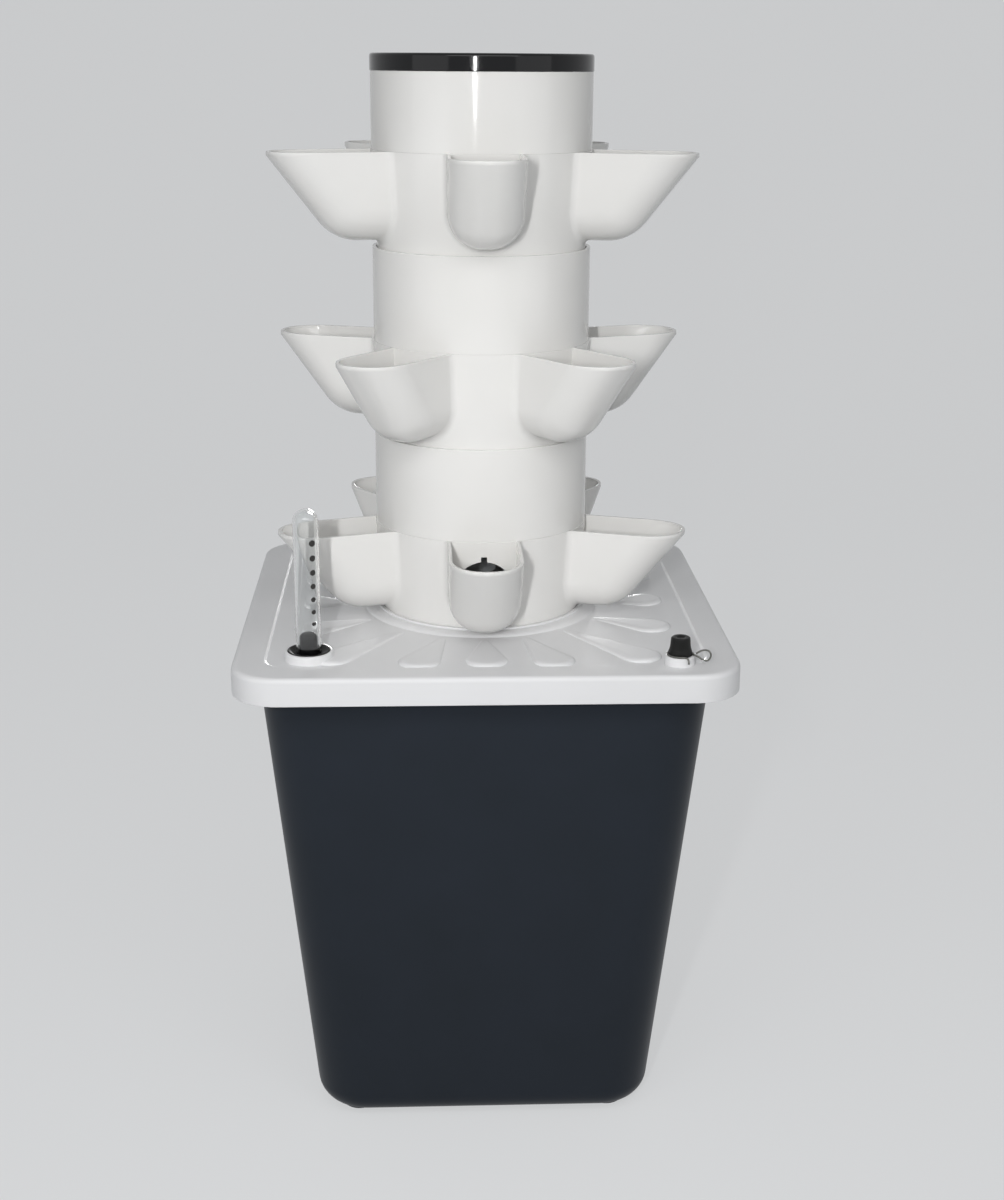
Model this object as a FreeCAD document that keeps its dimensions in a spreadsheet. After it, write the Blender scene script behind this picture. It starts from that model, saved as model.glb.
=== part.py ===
import FreeCAD, Part
import math
import os
import Sketcher
from FreeCAD import Placement, Rotation, Vector

# Vertical planter tower: a water tank with a lid, and on the lid a tower of planting rings and spacer
# tubes with a pump and a riser pipe inside. Millimetres, +Z up, the floor at z = 0, the tower's axis on
# the Z axis and the gauge side of the lid towards -Y.

doc = FreeCAD.newDocument("planter_tower")
sheet = doc.addObject("Spreadsheet::Sheet", "Dims")

# Driving dimensions: alias, value and what it measures
DIMENSIONS = [
    ("tank_base_half", 106.6, "half width of the tank at its base"),
    ("tank_mouth_half", 136.4, "half width of the tank at its mouth"),
    ("tank_base_corner", 31.0, "corner radius of the tank at its base"),
    ("tank_mouth_corner", 33.0, "corner radius of the tank at its mouth"),
    ("tank_body_height", 314.9, "tank from its underside to its rim"),
    ("tank_wall", 3.0, "wall of the tank"),
    ("tank_floor", 3.5, "floor of the tank"),
    ("tank_edge_round", 18.0, "rounding between the tank's walls and its base"),
    ("tank_rim_width", 9.6, "how far the rim stands out of the tank's mouth"),
    ("tank_rim_plate", 3.0, "thickness of the tank's rim"),
    ("tank_rim_drop", 11.0, "height of the lip that hangs from the rim"),
    ("tank_lip_wall", 2.6, "wall of that lip"),
    ("foot_height", 2.5, "moulded feet under the tank"),
    ("foot_radius", 11.5, "radius of a moulded foot"),
    ("foot_inset", 25.6, "distance of a foot's middle from the sides of the tank's base"),
    ("lid_gap", 1.4, "clearance of the lid's skirt round the tank's rim"),
    ("lid_corner", 29.0, "corner radius of the lid"),
    ("lid_height", 17.0, "height of the lid's skirt"),
    ("lid_plate", 2.6, "thickness of the lid's top and skirt"),
    ("lid_edge_round", 2.2, "rounding of the lid's top edge"),
    ("panel_border", 19.0, "width of the border round the sunk panel in the lid"),
    ("panel_corner", 18.0, "corner radius of the sunk panel"),
    ("panel_depth", 0.9, "depth of the sunk panel"),
    ("petal_height", 1.8, "how far a petal stands up from the sunk panel"),
    ("petal_gap", 8.0, "distance of a petal's narrow end from the collar"),
    ("petal_narrow", 2.6, "radius of a petal's narrow end"),
    ("petal_wide", 12.6, "radius of a petal's wide end"),
    ("collar_width", 9.4, "width of the raised collar round the tower's foot"),
    ("collar_height", 2.4, "height of the collar above the lid"),
    ("notch_half", 6.0, "half width of the cable notch at the back of the lid and of the tank's rim"),
    ("notch_height", 12.0, "height of the cable notch in the lid"),
    ("ring_height", 57.5, "planting ring from seam to seam"),
    ("ring_flare", 0.4, "how far a planting ring's top stands out past a spacer tube"),
    ("tower_wall", 2.4, "wall of the rings and tubes"),
    ("spigot_length", 8.0, "how deep each piece of the tower sits in the one below"),
    ("spigot_gap", 0.4, "radial clearance of a spigot in its socket"),
    ("tube_radius", 67.0, "outer radius of a spacer tube"),
    ("tube_height", 57.0, "spacer tube from seam to seam"),
    ("top_tube_height", 45.3, "top tube from its seam to the cap"),
    ("ledge_width", 3.6, "width of the ledge that carries the piece above"),
    ("ledge_plate", 2.4, "thickness of the ledge and of the spider"),
    ("spider_height", 6.0, "height of the spider's arms"),
    ("cup_count", 5, "planting cups on a ring"),
    ("cup_reach", 65.5, "reach of a cup's lip past the spacer tubes"),
    ("cup_heel_reach", 26.3, "where a cup's leaning front would meet its floor, past the tubes"),
    ("cup_rise", 5.5, "height of a cup's underside above the ring's lower seam"),
    ("cup_band", 2.5, "height of the upright band under the rim"),
    ("cup_half", 22.0, "half width of a cup"),
    ("cup_wall", 2.0, "wall of a cup"),
    ("cup_lip", 2.3, "wall of a cup at its lip"),
    ("cup_flat", 2.0, "half width of the flat strip along a cup's underside"),
    ("cup_heel_round", 28.0, "rounding of a cup's heel"),
    ("cup_root_round", 5.0, "hollow rounding where a cup leaves the ring"),
    ("port_radius", 17.0, "radius of the port from a cup into the tower"),
    ("port_rise", 27.8, "height of the port's centre above the ring's lower seam"),
    ("port_notch_half", 1.8, "half width of the notch over the port"),
    ("port_notch_rise", 3.2, "height of the notch over the port"),
    ("ring_turn", 36.0, "turn of the middle ring against its neighbours, in degrees"),
    ("cap_overhang", 0.3, "how far the cap stands out past the top tube"),
    ("cap_height", 10.0, "height of the cap above the tube"),
    ("cap_plate", 2.4, "thickness of the cap"),
    ("cap_round", 1.6, "rounding of the cap's top edge"),
    ("dish_drop", 17.0, "depth of the distributor's seat below the tube's top"),
    ("dish_plate", 2.0, "thickness of the water distributor"),
    ("dish_rim", 6.0, "height of the distributor's rim"),
    ("drip_hole_radius", 1.6, "radius of a drip hole"),
    ("drip_hole_inset", 17.0, "distance of the drip holes from the top tube's outside"),
    ("drip_hole_count", 16, "number of drip holes"),
    ("pipe_radius", 8.0, "outer radius of the riser pipe"),
    ("pipe_wall", 1.8, "wall of the riser pipe"),
    ("pipe_count", 4, "lengths of riser pipe"),
    ("socket_depth", 12.0, "depth of a pipe socket"),
    ("socket_wall", 2.0, "wall of a pipe socket"),
    ("pipe_gap", 0.1, "radial clearance of a pipe in its socket"),
    ("guide_gap", 1.6, "radial clearance of the guides round the pipe sockets"),
    ("pump_length", 56.0, "length of the pump's body"),
    ("pump_width", 44.0, "width of the pump's body"),
    ("pump_body_height", 46.0, "height of the pump's body"),
    ("pump_round", 5.0, "rounding of the pump's body"),
    ("pump_lift", 8.0, "height of the pump's suction feet"),
    ("suction_radius", 7.2, "radius of a suction foot"),
    ("suction_neck", 2.6, "radius of a suction foot's neck"),
    ("suction_plug", 3.6, "radius of the plug on top of a suction foot"),
    ("pump_ahead", 16.0, "distance of the pump's front from the riser's axis"),
    ("outlet_height", 14.0, "height of the pump's outlet stub"),
    ("chamber_radius", 14.0, "radius of the impeller's chamber"),
    ("chamber_depth", 24.0, "depth of the impeller's chamber"),
    ("impeller_radius", 12.4, "radius of the impeller"),
    ("impeller_length", 10.0, "length of the impeller's blades"),
    ("magnet_radius", 6.5, "radius of the impeller's magnet rotor"),
    ("magnet_length", 22.0, "length of the magnet rotor"),
    ("shaft_radius", 1.2, "radius of the impeller's shaft"),
    ("shaft_gap", 0.08, "radial clearance of the impeller on its shaft"),
    ("blade_count", 6, "blades of the impeller"),
    ("blade_plate", 1.2, "thickness of an impeller blade"),
    ("disc_plate", 1.5, "thickness of the impeller's disc"),
    ("hub_wall", 2.0, "wall of the impeller's hub"),
    ("cover_plate", 3.0, "thickness of the impeller cover"),
    ("intake_radius", 7.0, "radius of the pump's intake"),
    ("cage_depth", 12.0, "depth of the intake cage"),
    ("cage_wall", 2.0, "wall of the intake cage"),
    ("cage_slot_count", 5, "slots in the intake cage"),
    ("gland_radius", 5.0, "radius of the cable gland on the pump"),
    ("gland_length", 9.0, "length of the cable gland"),
    ("gauge_inset_x", 21.37, "gauge's axis from the tank's left side, at the height of the float's foot"),
    ("gauge_inset_y", 15.87, "gauge's axis from the tank's front, at that height"),
    ("gauge_boss_radius", 14.7, "radius of the boss under the gauge"),
    ("gauge_boss_height", 2.2, "height of that boss above the lid"),
    ("grommet_radius", 12.6, "radius of the grommet's flange"),
    ("grommet_neck", 10.4, "radius of the grommet's neck"),
    ("grommet_plate", 2.8, "thickness of the grommet's flange"),
    ("grommet_floor", 2.0, "thickness of the grommet's floor under the glass"),
    ("grommet_bevel", 1.4, "bevels on the grommet"),
    ("grommet_gap", 0.1, "radial clearance of the grommet and of the glass in it"),
    ("glass_radius", 7.5, "outer radius of the gauge glass"),
    ("glass_wall", 1.1, "wall of the gauge glass"),
    ("glass_height", 88.0, "gauge glass above the lid's boss"),
    ("head_radius", 5.0, "radius of the float rod's head"),
    ("head_height", 18.0, "height of the float rod's head"),
    ("rod_radius", 1.6, "radius of the float rod"),
    ("rod_length", 78.0, "length of the float rod under its head"),
    ("rod_gap", 0.5, "radial clearance of the rod in the grommet"),
    ("float_radius", 5.6, "radius of the float"),
    ("float_length", 28.0, "length of the float"),
    ("float_bevel", 1.6, "bevels on the float and on the rod's head"),
    ("bung_inset_x", 36.8, "distance of the filler bung from the lid's right side"),
    ("bung_inset_y", 22.6, "distance of the filler bung from the lid's front"),
    ("bung_boss_radius", 9.6, "radius of the filler boss"),
    ("bung_boss_height", 3.4, "height of the filler boss above the lid"),
    ("bung_top_radius", 6.1, "radius of the bung's top"),
    ("bung_low_radius", 7.4, "radius of the bung where it meets the boss"),
    ("bung_height", 14.6, "height of the bung above its boss"),
    ("bung_neck", 5.6, "radius of the bung's neck in the lid"),
    ("bung_bevel", 0.8, "bevels on the bung"),
    ("bung_dimple", 1.6, "depth of the dimple in the bung's top"),
    ("bung_gap", 0.3, "radial clearance of the bung's neck"),
    ("wire_radius", 0.6, "radius of the wire round the bung"),
    ("wire_eye_radius", 4.4, "radius of the wire's open eye"),
    ("wire_tail", 3.0, "straight run of the wire before its eye"),
    ("wire_gap", 0.35, "gap between the wire and the bung"),
]
for row, (alias, number, note) in enumerate(DIMENSIONS, start=1):
    sheet.set("A%d" % row, note)
    sheet.set("B%d" % row, "%g" % number)
    sheet.setAlias("B%d" % row, alias)
doc.recompute()


def number_of(expression):
    """The present value of an expression on the sheet's cells."""
    return float(sheet.evalExpression(str(expression)))


# Heights and radii that follow from the driving dimensions
TANK_RIM = "(Dims.foot_height + Dims.tank_body_height)"
TANK_INSIDE = "(Dims.foot_height + Dims.tank_floor)"
LID_TOP = "(%s + Dims.lid_plate)" % TANK_RIM
LID_UNDER = "(%s - Dims.lid_height)" % LID_TOP
PITCH = "(Dims.ring_height + Dims.tube_height)"
PUMP_BASE = "(%s + Dims.pump_lift)" % TANK_INSIDE
PUMP_TOP = "(%s + Dims.pump_body_height)" % PUMP_BASE
SOCKET_RADIUS = "(Dims.tube_radius - Dims.tower_wall)"
RING_BASE = "(%s - Dims.spigot_gap)" % SOCKET_RADIUS
RING_CREST = "(Dims.tube_radius + Dims.ring_flare)"
COLLAR_RADIUS = "(%s + Dims.collar_width)" % SOCKET_RADIUS
FOOT_PLACE = "(Dims.tank_base_half - Dims.foot_inset)"
LID_HALF = "(Dims.tank_mouth_half + Dims.tank_rim_width + Dims.lid_gap + Dims.lid_plate)"
PANEL_HALF = "(%s - Dims.panel_border)" % LID_HALF
FLOAT_RISE = "(Dims.tank_body_height - Dims.float_length - Dims.rod_length)"
TANK_TAPER = "((Dims.tank_mouth_half - Dims.tank_base_half) / Dims.tank_body_height)"
WALL_AT_FLOAT = "(Dims.tank_base_half + %s * %s)" % (TANK_TAPER, FLOAT_RISE)
GAUGE_X = "(-(%s - Dims.gauge_inset_x))" % WALL_AT_FLOAT
GAUGE_Y = "(-(%s - Dims.gauge_inset_y))" % WALL_AT_FLOAT
BUNG_X = "(%s - Dims.bung_inset_x)" % LID_HALF
BUNG_Y = "(-(%s - Dims.bung_inset_y))" % LID_HALF
PIPE_SOCKET = "(Dims.pipe_radius + Dims.pipe_gap + Dims.socket_wall)"
GUIDE_BORE = "(%s + Dims.guide_gap)" % PIPE_SOCKET
TOWER_TOP = "(%s + 2 * %s + Dims.ring_height + Dims.top_tube_height)" % (LID_TOP, PITCH)
DISH_SEAT = "(%s - Dims.dish_drop)" % TOWER_TOP
PIPE_FOOT = "(%s + Dims.outlet_height)" % PUMP_TOP
PIPE_STEP = "((%s - %s) / Dims.pipe_count)" % (DISH_SEAT, PIPE_FOOT)


# Helpers for sketches and features
def new_body(label):
    body = doc.addObject("PartDesign::Body", label)
    body.Label = label
    return body


def origin_plane(body, role):
    return [item for item in body.Origin.OriginFeatures if item.Role == role][0]


def new_sketch(body, role, height="0", turn=None):
    """A sketch on one of the body's origin planes, moved along the plane's normal by an expression."""
    sketch = body.newObject("Sketcher::SketchObject", body.Label + "_sketch")
    sketch.AttachmentSupport = (origin_plane(body, role), [""])
    sketch.MapMode = "FlatFace"
    if turn is not None:
        sketch.AttachmentOffset = Placement(Vector(0, 0, 0), Rotation(Vector(0, 0, 1), turn))
    sketch.setExpression("AttachmentOffset.Base.z", height)
    return sketch


def tie(sketch, geometry, vertex, along, expression):
    """Hold one coordinate of a sketch point at an expression on the sheet."""
    value = number_of(expression)
    if abs(value) < 1e-9:
        axis = -2 if along == "DistanceX" else -1
        sketch.addConstraint(Sketcher.Constraint("PointOnObject", geometry, vertex, axis))
        return
    if value > 0:
        rule = Sketcher.Constraint(along, -1, 1, geometry, vertex, value)
        text = expression
    else:
        rule = Sketcher.Constraint(along, geometry, vertex, -1, 1, -value)
        text = "-(%s)" % expression
    index = sketch.addConstraint(rule)
    sketch.setExpression("Constraints[%d]" % index, text)


def outline(sketch, points):
    """A closed run of straight lines whose corners are pairs of expressions."""
    corners = [Vector(number_of(u), number_of(v), 0) for u, v in points]
    first = sketch.GeometryCount
    count = len(corners)
    for k in range(count):
        sketch.addGeometry(Part.LineSegment(corners[k], corners[(k + 1) % count]))
    for k in range(count):
        after = first + (k + 1) % count
        sketch.addConstraint(Sketcher.Constraint("Coincident", first + k, 2, after, 1))
    for k, (u, v) in enumerate(points):
        tie(sketch, first + k, 1, "DistanceX", u)
        tie(sketch, first + k, 1, "DistanceY", v)
    return sketch


def circle(sketch, u, v, radius):
    index = sketch.addGeometry(Part.Circle(Vector(number_of(u), number_of(v), 0), Vector(0, 0, 1),
                                           number_of(radius)))
    tie(sketch, index, 3, "DistanceX", u)
    tie(sketch, index, 3, "DistanceY", v)
    rule = sketch.addConstraint(Sketcher.Constraint("Radius", index, number_of(radius)))
    sketch.setExpression("Constraints[%d]" % rule, radius)
    return sketch


def chain_of_arcs(sketch, centres, radii):
    """Arcs round the given centres, joined by straight lines that leave each arc at a tangent."""
    count = len(centres)
    spots = [Vector(number_of(u), number_of(v), 0) for u, v in centres]
    sizes = [number_of(radius) for radius in radii]
    starts, ends = [], []
    for k in range(count):
        here, there = spots[k], spots[(k + 1) % count]
        way = there - here
        swing = math.asin((sizes[(k + 1) % count] - sizes[k]) / way.Length)
        angle = math.atan2(way.y, way.x) - math.pi / 2 - swing
        normal = Vector(math.cos(angle), math.sin(angle), 0)
        ends.append((here + normal * sizes[k], angle))
        starts.append((there + normal * sizes[(k + 1) % count], angle))
    first = sketch.GeometryCount
    for k in range(count):
        begin, finish = starts[k - 1][1], ends[k][1]
        while finish < begin:
            finish += 2 * math.pi
        ring = Part.Circle(spots[k], Vector(0, 0, 1), sizes[k])
        sketch.addGeometry(Part.ArcOfCircle(ring, begin, finish))
        sketch.addGeometry(Part.LineSegment(ends[k][0], starts[k][0]))
    for k in range(count):
        arc, line = first + 2 * k, first + 2 * k + 1
        after = first + 2 * ((k + 1) % count)
        sketch.addConstraint(Sketcher.Constraint("Tangent", arc, 2, line, 1))
        sketch.addConstraint(Sketcher.Constraint("Tangent", line, 2, after, 1))
        tie(sketch, arc, 3, "DistanceX", centres[k][0])
        tie(sketch, arc, 3, "DistanceY", centres[k][1])
        rule = sketch.addConstraint(Sketcher.Constraint("Radius", arc, sizes[k]))
        sketch.setExpression("Constraints[%d]" % rule, radii[k])
    return sketch


def rounded_square(sketch, half, corner):
    reach = "(%s - %s)" % (half, corner)
    back = "(-%s)" % reach
    centres = [(reach, back), (reach, reach), (back, reach), (back, back)]
    return chain_of_arcs(sketch, centres, [corner] * 4)


def pad(body, profile, length, way="One side", downward=False):
    feature = body.newObject("PartDesign::Pad", body.Label + "_pad")
    feature.Profile = profile
    feature.SideType = way
    feature.Reversed = downward
    feature.setExpression("Length", length)
    return feature


def pocket(body, profile, length=None, way="One side", upward=False):
    """A cut, through everything if no length is given."""
    feature = body.newObject("PartDesign::Pocket", body.Label + "_pocket")
    feature.Profile = profile
    feature.SideType = way
    feature.Reversed = upward
    if length is None:
        feature.Type = "ThroughAll"
    else:
        feature.setExpression("Length", length)
    return feature


def revolve(body, sketch, cut=False):
    kind = "PartDesign::Groove" if cut else "PartDesign::Revolution"
    feature = body.newObject(kind, body.Label + "_turned")
    feature.Profile = sketch
    feature.ReferenceAxis = (sketch, ["V_Axis"])
    feature.Angle = 360
    return feature


def turned_body(label, points):
    """A body turned about the vertical axis from a half section."""
    body = new_body(label)
    revolve(body, outline(new_sketch(body, "XZ_Plane"), points))
    return body


def polar(body, originals, count, whole=False):
    """Even copies round the vertical axis, of the named features or of the whole shape so far."""
    doc.recompute()
    feature = body.newObject("PartDesign::PolarPattern", body.Label + "_pattern")
    if whole:
        feature.TransformMode = "Whole shape"
    else:
        feature.Originals = originals
    feature.Axis = (origin_axis(body), [""])
    feature.Angle = 360
    feature.setExpression("Occurrences", count)
    body.Tip = feature
    return feature


def origin_axis(body):
    return [item for item in body.Origin.OriginFeatures if item.Role == "Z_Axis"][0]


def rounding(body, base, radius, test):
    """A fillet on every edge of the base whose middle point passes the test."""
    doc.recompute()
    names = []
    for k, edge in enumerate(base.Shape.Edges, start=1):
        middle = edge.valueAt((edge.FirstParameter + edge.LastParameter) / 2)
        if test(middle, edge):
            names.append("Edge%d" % k)
    feature = body.newObject("PartDesign::Fillet", body.Label + "_round")
    feature.Base = (base, names)
    feature.setExpression("Radius", radius)
    return feature


def near(value, target, slack=0.01):
    return abs(value - target) < slack


def place(item, height, angle=0.0, x="0", y="0"):
    """Stand a finished sub-part at its height, turned about its own vertical axis."""
    item.Placement = Placement(Vector(0, 0, 0), Rotation(Vector(0, 0, 1), angle))
    item.setExpression("Placement.Base.x", x)
    item.setExpression("Placement.Base.y", y)
    item.setExpression("Placement.Base.z", height)


SUB_PARTS = []


def finished(item, label):
    item.Label = label
    SUB_PARTS.append(item)
    return item


# Tank: a tapered tub with a rim, a lip that hangs from it and four moulded feet
def cable_notch(body):
    """The gap at the back of the tank's mouth where the pump's cable comes out."""
    gap = outline(new_sketch(body, "XZ_Plane", "(-Dims.tank_mouth_half - Dims.tank_rim_width - 1)"), [
        ("(-Dims.notch_half)", "(%s - Dims.tank_rim_drop)" % TANK_RIM),
        ("Dims.notch_half", "(%s - Dims.tank_rim_drop)" % TANK_RIM),
        ("Dims.notch_half", "(%s + 1)" % TANK_RIM), ("(-Dims.notch_half)", "(%s + 1)" % TANK_RIM)])
    return pocket(body, gap, "(Dims.tank_rim_width + 3 * Dims.tank_wall)", upward=True)


def build_tank():
    body = new_body("tank")
    base = rounded_square(new_sketch(body, "XY_Plane", "Dims.foot_height"),
                          "Dims.tank_base_half", "Dims.tank_base_corner")
    mouth = rounded_square(new_sketch(body, "XY_Plane", TANK_RIM),
                           "Dims.tank_mouth_half", "Dims.tank_mouth_corner")
    outer = body.newObject("PartDesign::AdditiveLoft", "tank_outside")
    outer.Profile = base
    outer.Sections = [mouth]
    outer.Ruled = True
    inner_base = rounded_square(new_sketch(body, "XY_Plane", TANK_INSIDE),
                                "(Dims.tank_base_half - Dims.tank_wall)",
                                "(Dims.tank_base_corner - Dims.tank_wall)")
    inner_mouth = rounded_square(new_sketch(body, "XY_Plane", TANK_RIM),
                                 "(Dims.tank_mouth_half - Dims.tank_wall)",
                                 "(Dims.tank_mouth_corner - Dims.tank_wall)")
    hollow = body.newObject("PartDesign::SubtractiveLoft", "tank_hollow")
    hollow.Profile = inner_base
    hollow.Sections = [inner_mouth]
    hollow.Ruled = True
    inside, underside = number_of(TANK_INSIDE), number_of("Dims.foot_height")
    inner_round = rounding(body, hollow, "(Dims.tank_edge_round - Dims.tank_wall)",
                           lambda at, _: near(at.z, inside))
    rounding(body, inner_round, "Dims.tank_edge_round", lambda at, _: near(at.z, underside))
    cable_notch(body)
    foot = circle(new_sketch(body, "XY_Plane"), FOOT_PLACE, FOOT_PLACE, "Dims.foot_radius")
    feet = pad(body, foot, "(Dims.foot_height + 0.5 * Dims.tank_floor)")
    polar(body, [feet], "4")
    return finished(body, "tank")


def build_tank_rim():
    """The tank's rim and the lip that hangs from it: one moulding with the tank, as a node of its own."""
    body = new_body("tank_rim")
    plate = new_sketch(body, "XY_Plane", TANK_RIM)
    rounded_square(plate, "(Dims.tank_mouth_half + Dims.tank_rim_width)",
                   "(Dims.tank_mouth_corner + Dims.tank_rim_width)")
    rounded_square(plate, "Dims.tank_mouth_half", "Dims.tank_mouth_corner")
    pad(body, plate, "Dims.tank_rim_plate", downward=True)
    lip = new_sketch(body, "XY_Plane", TANK_RIM)
    rounded_square(lip, "(Dims.tank_mouth_half + Dims.tank_rim_width)",
                   "(Dims.tank_mouth_corner + Dims.tank_rim_width)")
    rounded_square(lip, "(Dims.tank_mouth_half + Dims.tank_rim_width - Dims.tank_lip_wall)",
                   "(Dims.tank_mouth_corner + Dims.tank_rim_width - Dims.tank_lip_wall)")
    pad(body, lip, "Dims.tank_rim_drop", downward=True)
    cable_notch(body)
    return finished(body, "tank_rim")


# Lid: a flat cover with a sunk panel, raised petals, a collar for the tower and two bosses.
# Petal directions are in degrees from the front; each petal's reach is limited by the panel's sides.
PETAL_DIRECTIONS = [0.0, 18.5, 39.5, 62.5, 90.0]
PETAL_SIDE_REACH = "(%s - 12)" % PANEL_HALF
PETAL_FRONT_REACH = PANEL_HALF
PETAL_CORNER_REACH = "(1.2 * %s)" % PANEL_HALF
PETAL_START = "(%s + Dims.petal_gap)" % COLLAR_RADIUS


def petal_reach(direction):
    """Where a petal ends, as an expression: at the panel's front or side, or short of its corner."""
    angle = math.radians(direction)
    if direction < 30:
        return "(%s / %.6f)" % (PETAL_FRONT_REACH, math.cos(angle))
    if direction < 50:
        return PETAL_CORNER_REACH
    if direction < 70:
        return PETAL_FRONT_REACH
    return PETAL_SIDE_REACH


def build_lid():
    body = new_body("lid")
    plate = rounded_square(new_sketch(body, "XY_Plane", LID_UNDER), LID_HALF, "Dims.lid_corner")
    block = pad(body, plate, "Dims.lid_height")
    top = number_of(LID_TOP)
    rounding(body, block, "Dims.lid_edge_round", lambda at, _: near(at.z, top))
    under = rounded_square(new_sketch(body, "XY_Plane", LID_UNDER),
                           "(%s - Dims.lid_plate)" % LID_HALF, "(Dims.lid_corner - Dims.lid_plate)")
    pocket(body, under, "(Dims.lid_height - Dims.lid_plate)", upward=True)
    panel = rounded_square(new_sketch(body, "XY_Plane", LID_TOP), PANEL_HALF, "Dims.panel_corner")
    pocket(body, panel, "Dims.panel_depth")
    for direction in PETAL_DIRECTIONS:
        for angle in sorted({direction, -direction, 180 - direction, direction - 180}):
            if angle == -180:
                continue
            petal = new_sketch(body, "XY_Plane", "(%s - Dims.panel_depth - 0.5 * Dims.lid_plate)" % LID_TOP,
                               turn=angle - 90)
            wide = "(%s - Dims.petal_wide)" % petal_reach(direction)
            chain_of_arcs(petal, [(PETAL_START, "0"), (wide, "0")],
                          ["Dims.petal_narrow", "Dims.petal_wide"])
            pad(body, petal, "(0.5 * Dims.lid_plate + Dims.petal_height)")
    well = circle(new_sketch(body, "XY_Plane", LID_TOP), "0", "0",
                  "(%s + 0.5 * Dims.tower_wall)" % SOCKET_RADIUS)
    pocket(body, well)
    seat = "(%s - Dims.spigot_length)" % LID_TOP
    floor = "(%s - Dims.ledge_plate)" % seat
    collar_top = "(%s + Dims.collar_height)" % LID_TOP
    inner = "(%s - Dims.ledge_width - Dims.tower_wall)" % SOCKET_RADIUS
    outer = "(%s + Dims.tower_wall)" % SOCKET_RADIUS
    collar = outline(new_sketch(body, "XZ_Plane"), [
        (inner, floor), (outer, floor), (outer, "(%s - Dims.lid_plate)" % LID_TOP),
        (COLLAR_RADIUS, "(%s - 0.5 * Dims.lid_plate)" % LID_TOP), (COLLAR_RADIUS, LID_TOP),
        ("(%s - 0.5 * Dims.collar_height)" % COLLAR_RADIUS, collar_top),
        (SOCKET_RADIUS, collar_top), (SOCKET_RADIUS, seat), (inner, seat)])
    revolve(body, collar)
    middle = "(%s - 0.5 * Dims.lid_plate)" % LID_TOP
    gauge = circle(new_sketch(body, "XY_Plane", middle), GAUGE_X, GAUGE_Y,
                   "Dims.gauge_boss_radius")
    pad(body, gauge, "(0.5 * Dims.lid_plate + Dims.gauge_boss_height)")
    gauge_hole = circle(new_sketch(body, "XY_Plane", "(%s + Dims.gauge_boss_height)" % LID_TOP),
                        GAUGE_X, GAUGE_Y, "(Dims.grommet_neck + Dims.grommet_gap)")
    pocket(body, gauge_hole)
    filler = circle(new_sketch(body, "XY_Plane", middle), BUNG_X, BUNG_Y,
                    "Dims.bung_boss_radius")
    pad(body, filler, "(0.5 * Dims.lid_plate + Dims.bung_boss_height)")
    filler_hole = circle(new_sketch(body, "XY_Plane", "(%s + Dims.bung_boss_height)" % LID_TOP),
                         BUNG_X, BUNG_Y, "(Dims.bung_neck + Dims.bung_gap)")
    pocket(body, filler_hole)
    notch = outline(new_sketch(body, "XZ_Plane", "(-%s - 1)" % LID_HALF), [
        ("(-Dims.notch_half)", "(%s - 1)" % LID_UNDER), ("Dims.notch_half", "(%s - 1)" % LID_UNDER),
        ("Dims.notch_half", "(%s + Dims.notch_height)" % LID_UNDER),
        ("(-Dims.notch_half)", "(%s + Dims.notch_height)" % LID_UNDER)])
    pocket(body, notch, "(2 * Dims.lid_plate)", upward=True)
    return finished(body, "lid")


# Planting ring: a tapered wall, cups moulded on it and a port from each cup into the tower.
# Heights are from the bottom of the ring's spigot; the cups stand at even angles from +X.
RING_TOP = "(Dims.spigot_length + Dims.ring_height)"
CUP_FLOOR = "(Dims.spigot_length + Dims.cup_rise)"
CUP_BAND = "(%s - Dims.cup_band)" % RING_TOP
CUP_ROOT = "(%s - 3 * Dims.tower_wall)" % RING_BASE
CUP_TIP = "(Dims.tube_radius + Dims.cup_reach)"
CUP_HEEL = "(Dims.tube_radius + Dims.cup_heel_reach)"
CUP_SLOPE = "((%s - %s) / (%s - %s))" % (CUP_TIP, CUP_HEEL, CUP_BAND, CUP_FLOOR)
CUP_SIDE_ROUND = "(Dims.cup_half - Dims.cup_flat)"


def wall_radius(inset):
    """Radii of the ring's wall, inset from its outside: at its base and at its top."""
    return ["(%s - %s)" % (radius, inset) for radius in (RING_BASE, RING_CREST)]


def build_ring_wall():
    base_outer, top_outer = wall_radius("0")
    base_inner, top_inner = wall_radius("Dims.tower_wall")
    return turned_body("ring_wall", [
        (base_inner, "0"), (base_outer, "0"), (base_outer, "Dims.spigot_length"),
        (top_outer, RING_TOP), (top_inner, RING_TOP), (base_inner, "Dims.spigot_length")])


def round_cup(body, base, half, floor, heel, side_round, heel_round):
    """Round a cup's heel and then the two long edges of its underside."""
    width, level, reach = number_of(half), number_of(floor), number_of(heel)
    bent = rounding(body, base, heel_round, lambda at, _: near(at.x, reach) and near(at.z, level))
    high, root = number_of(CUP_BAND) - 0.5, number_of(CUP_ROOT) + 0.5

    def long_edge(at, edge):
        first, last = edge.Vertexes[0].Point, edge.Vertexes[-1].Point
        upright = near(first.x, last.x)
        return near(abs(at.y), width) and level - 0.01 < at.z < high and at.x > root and not upright

    return rounding(body, bent, side_round, long_edge)


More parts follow.
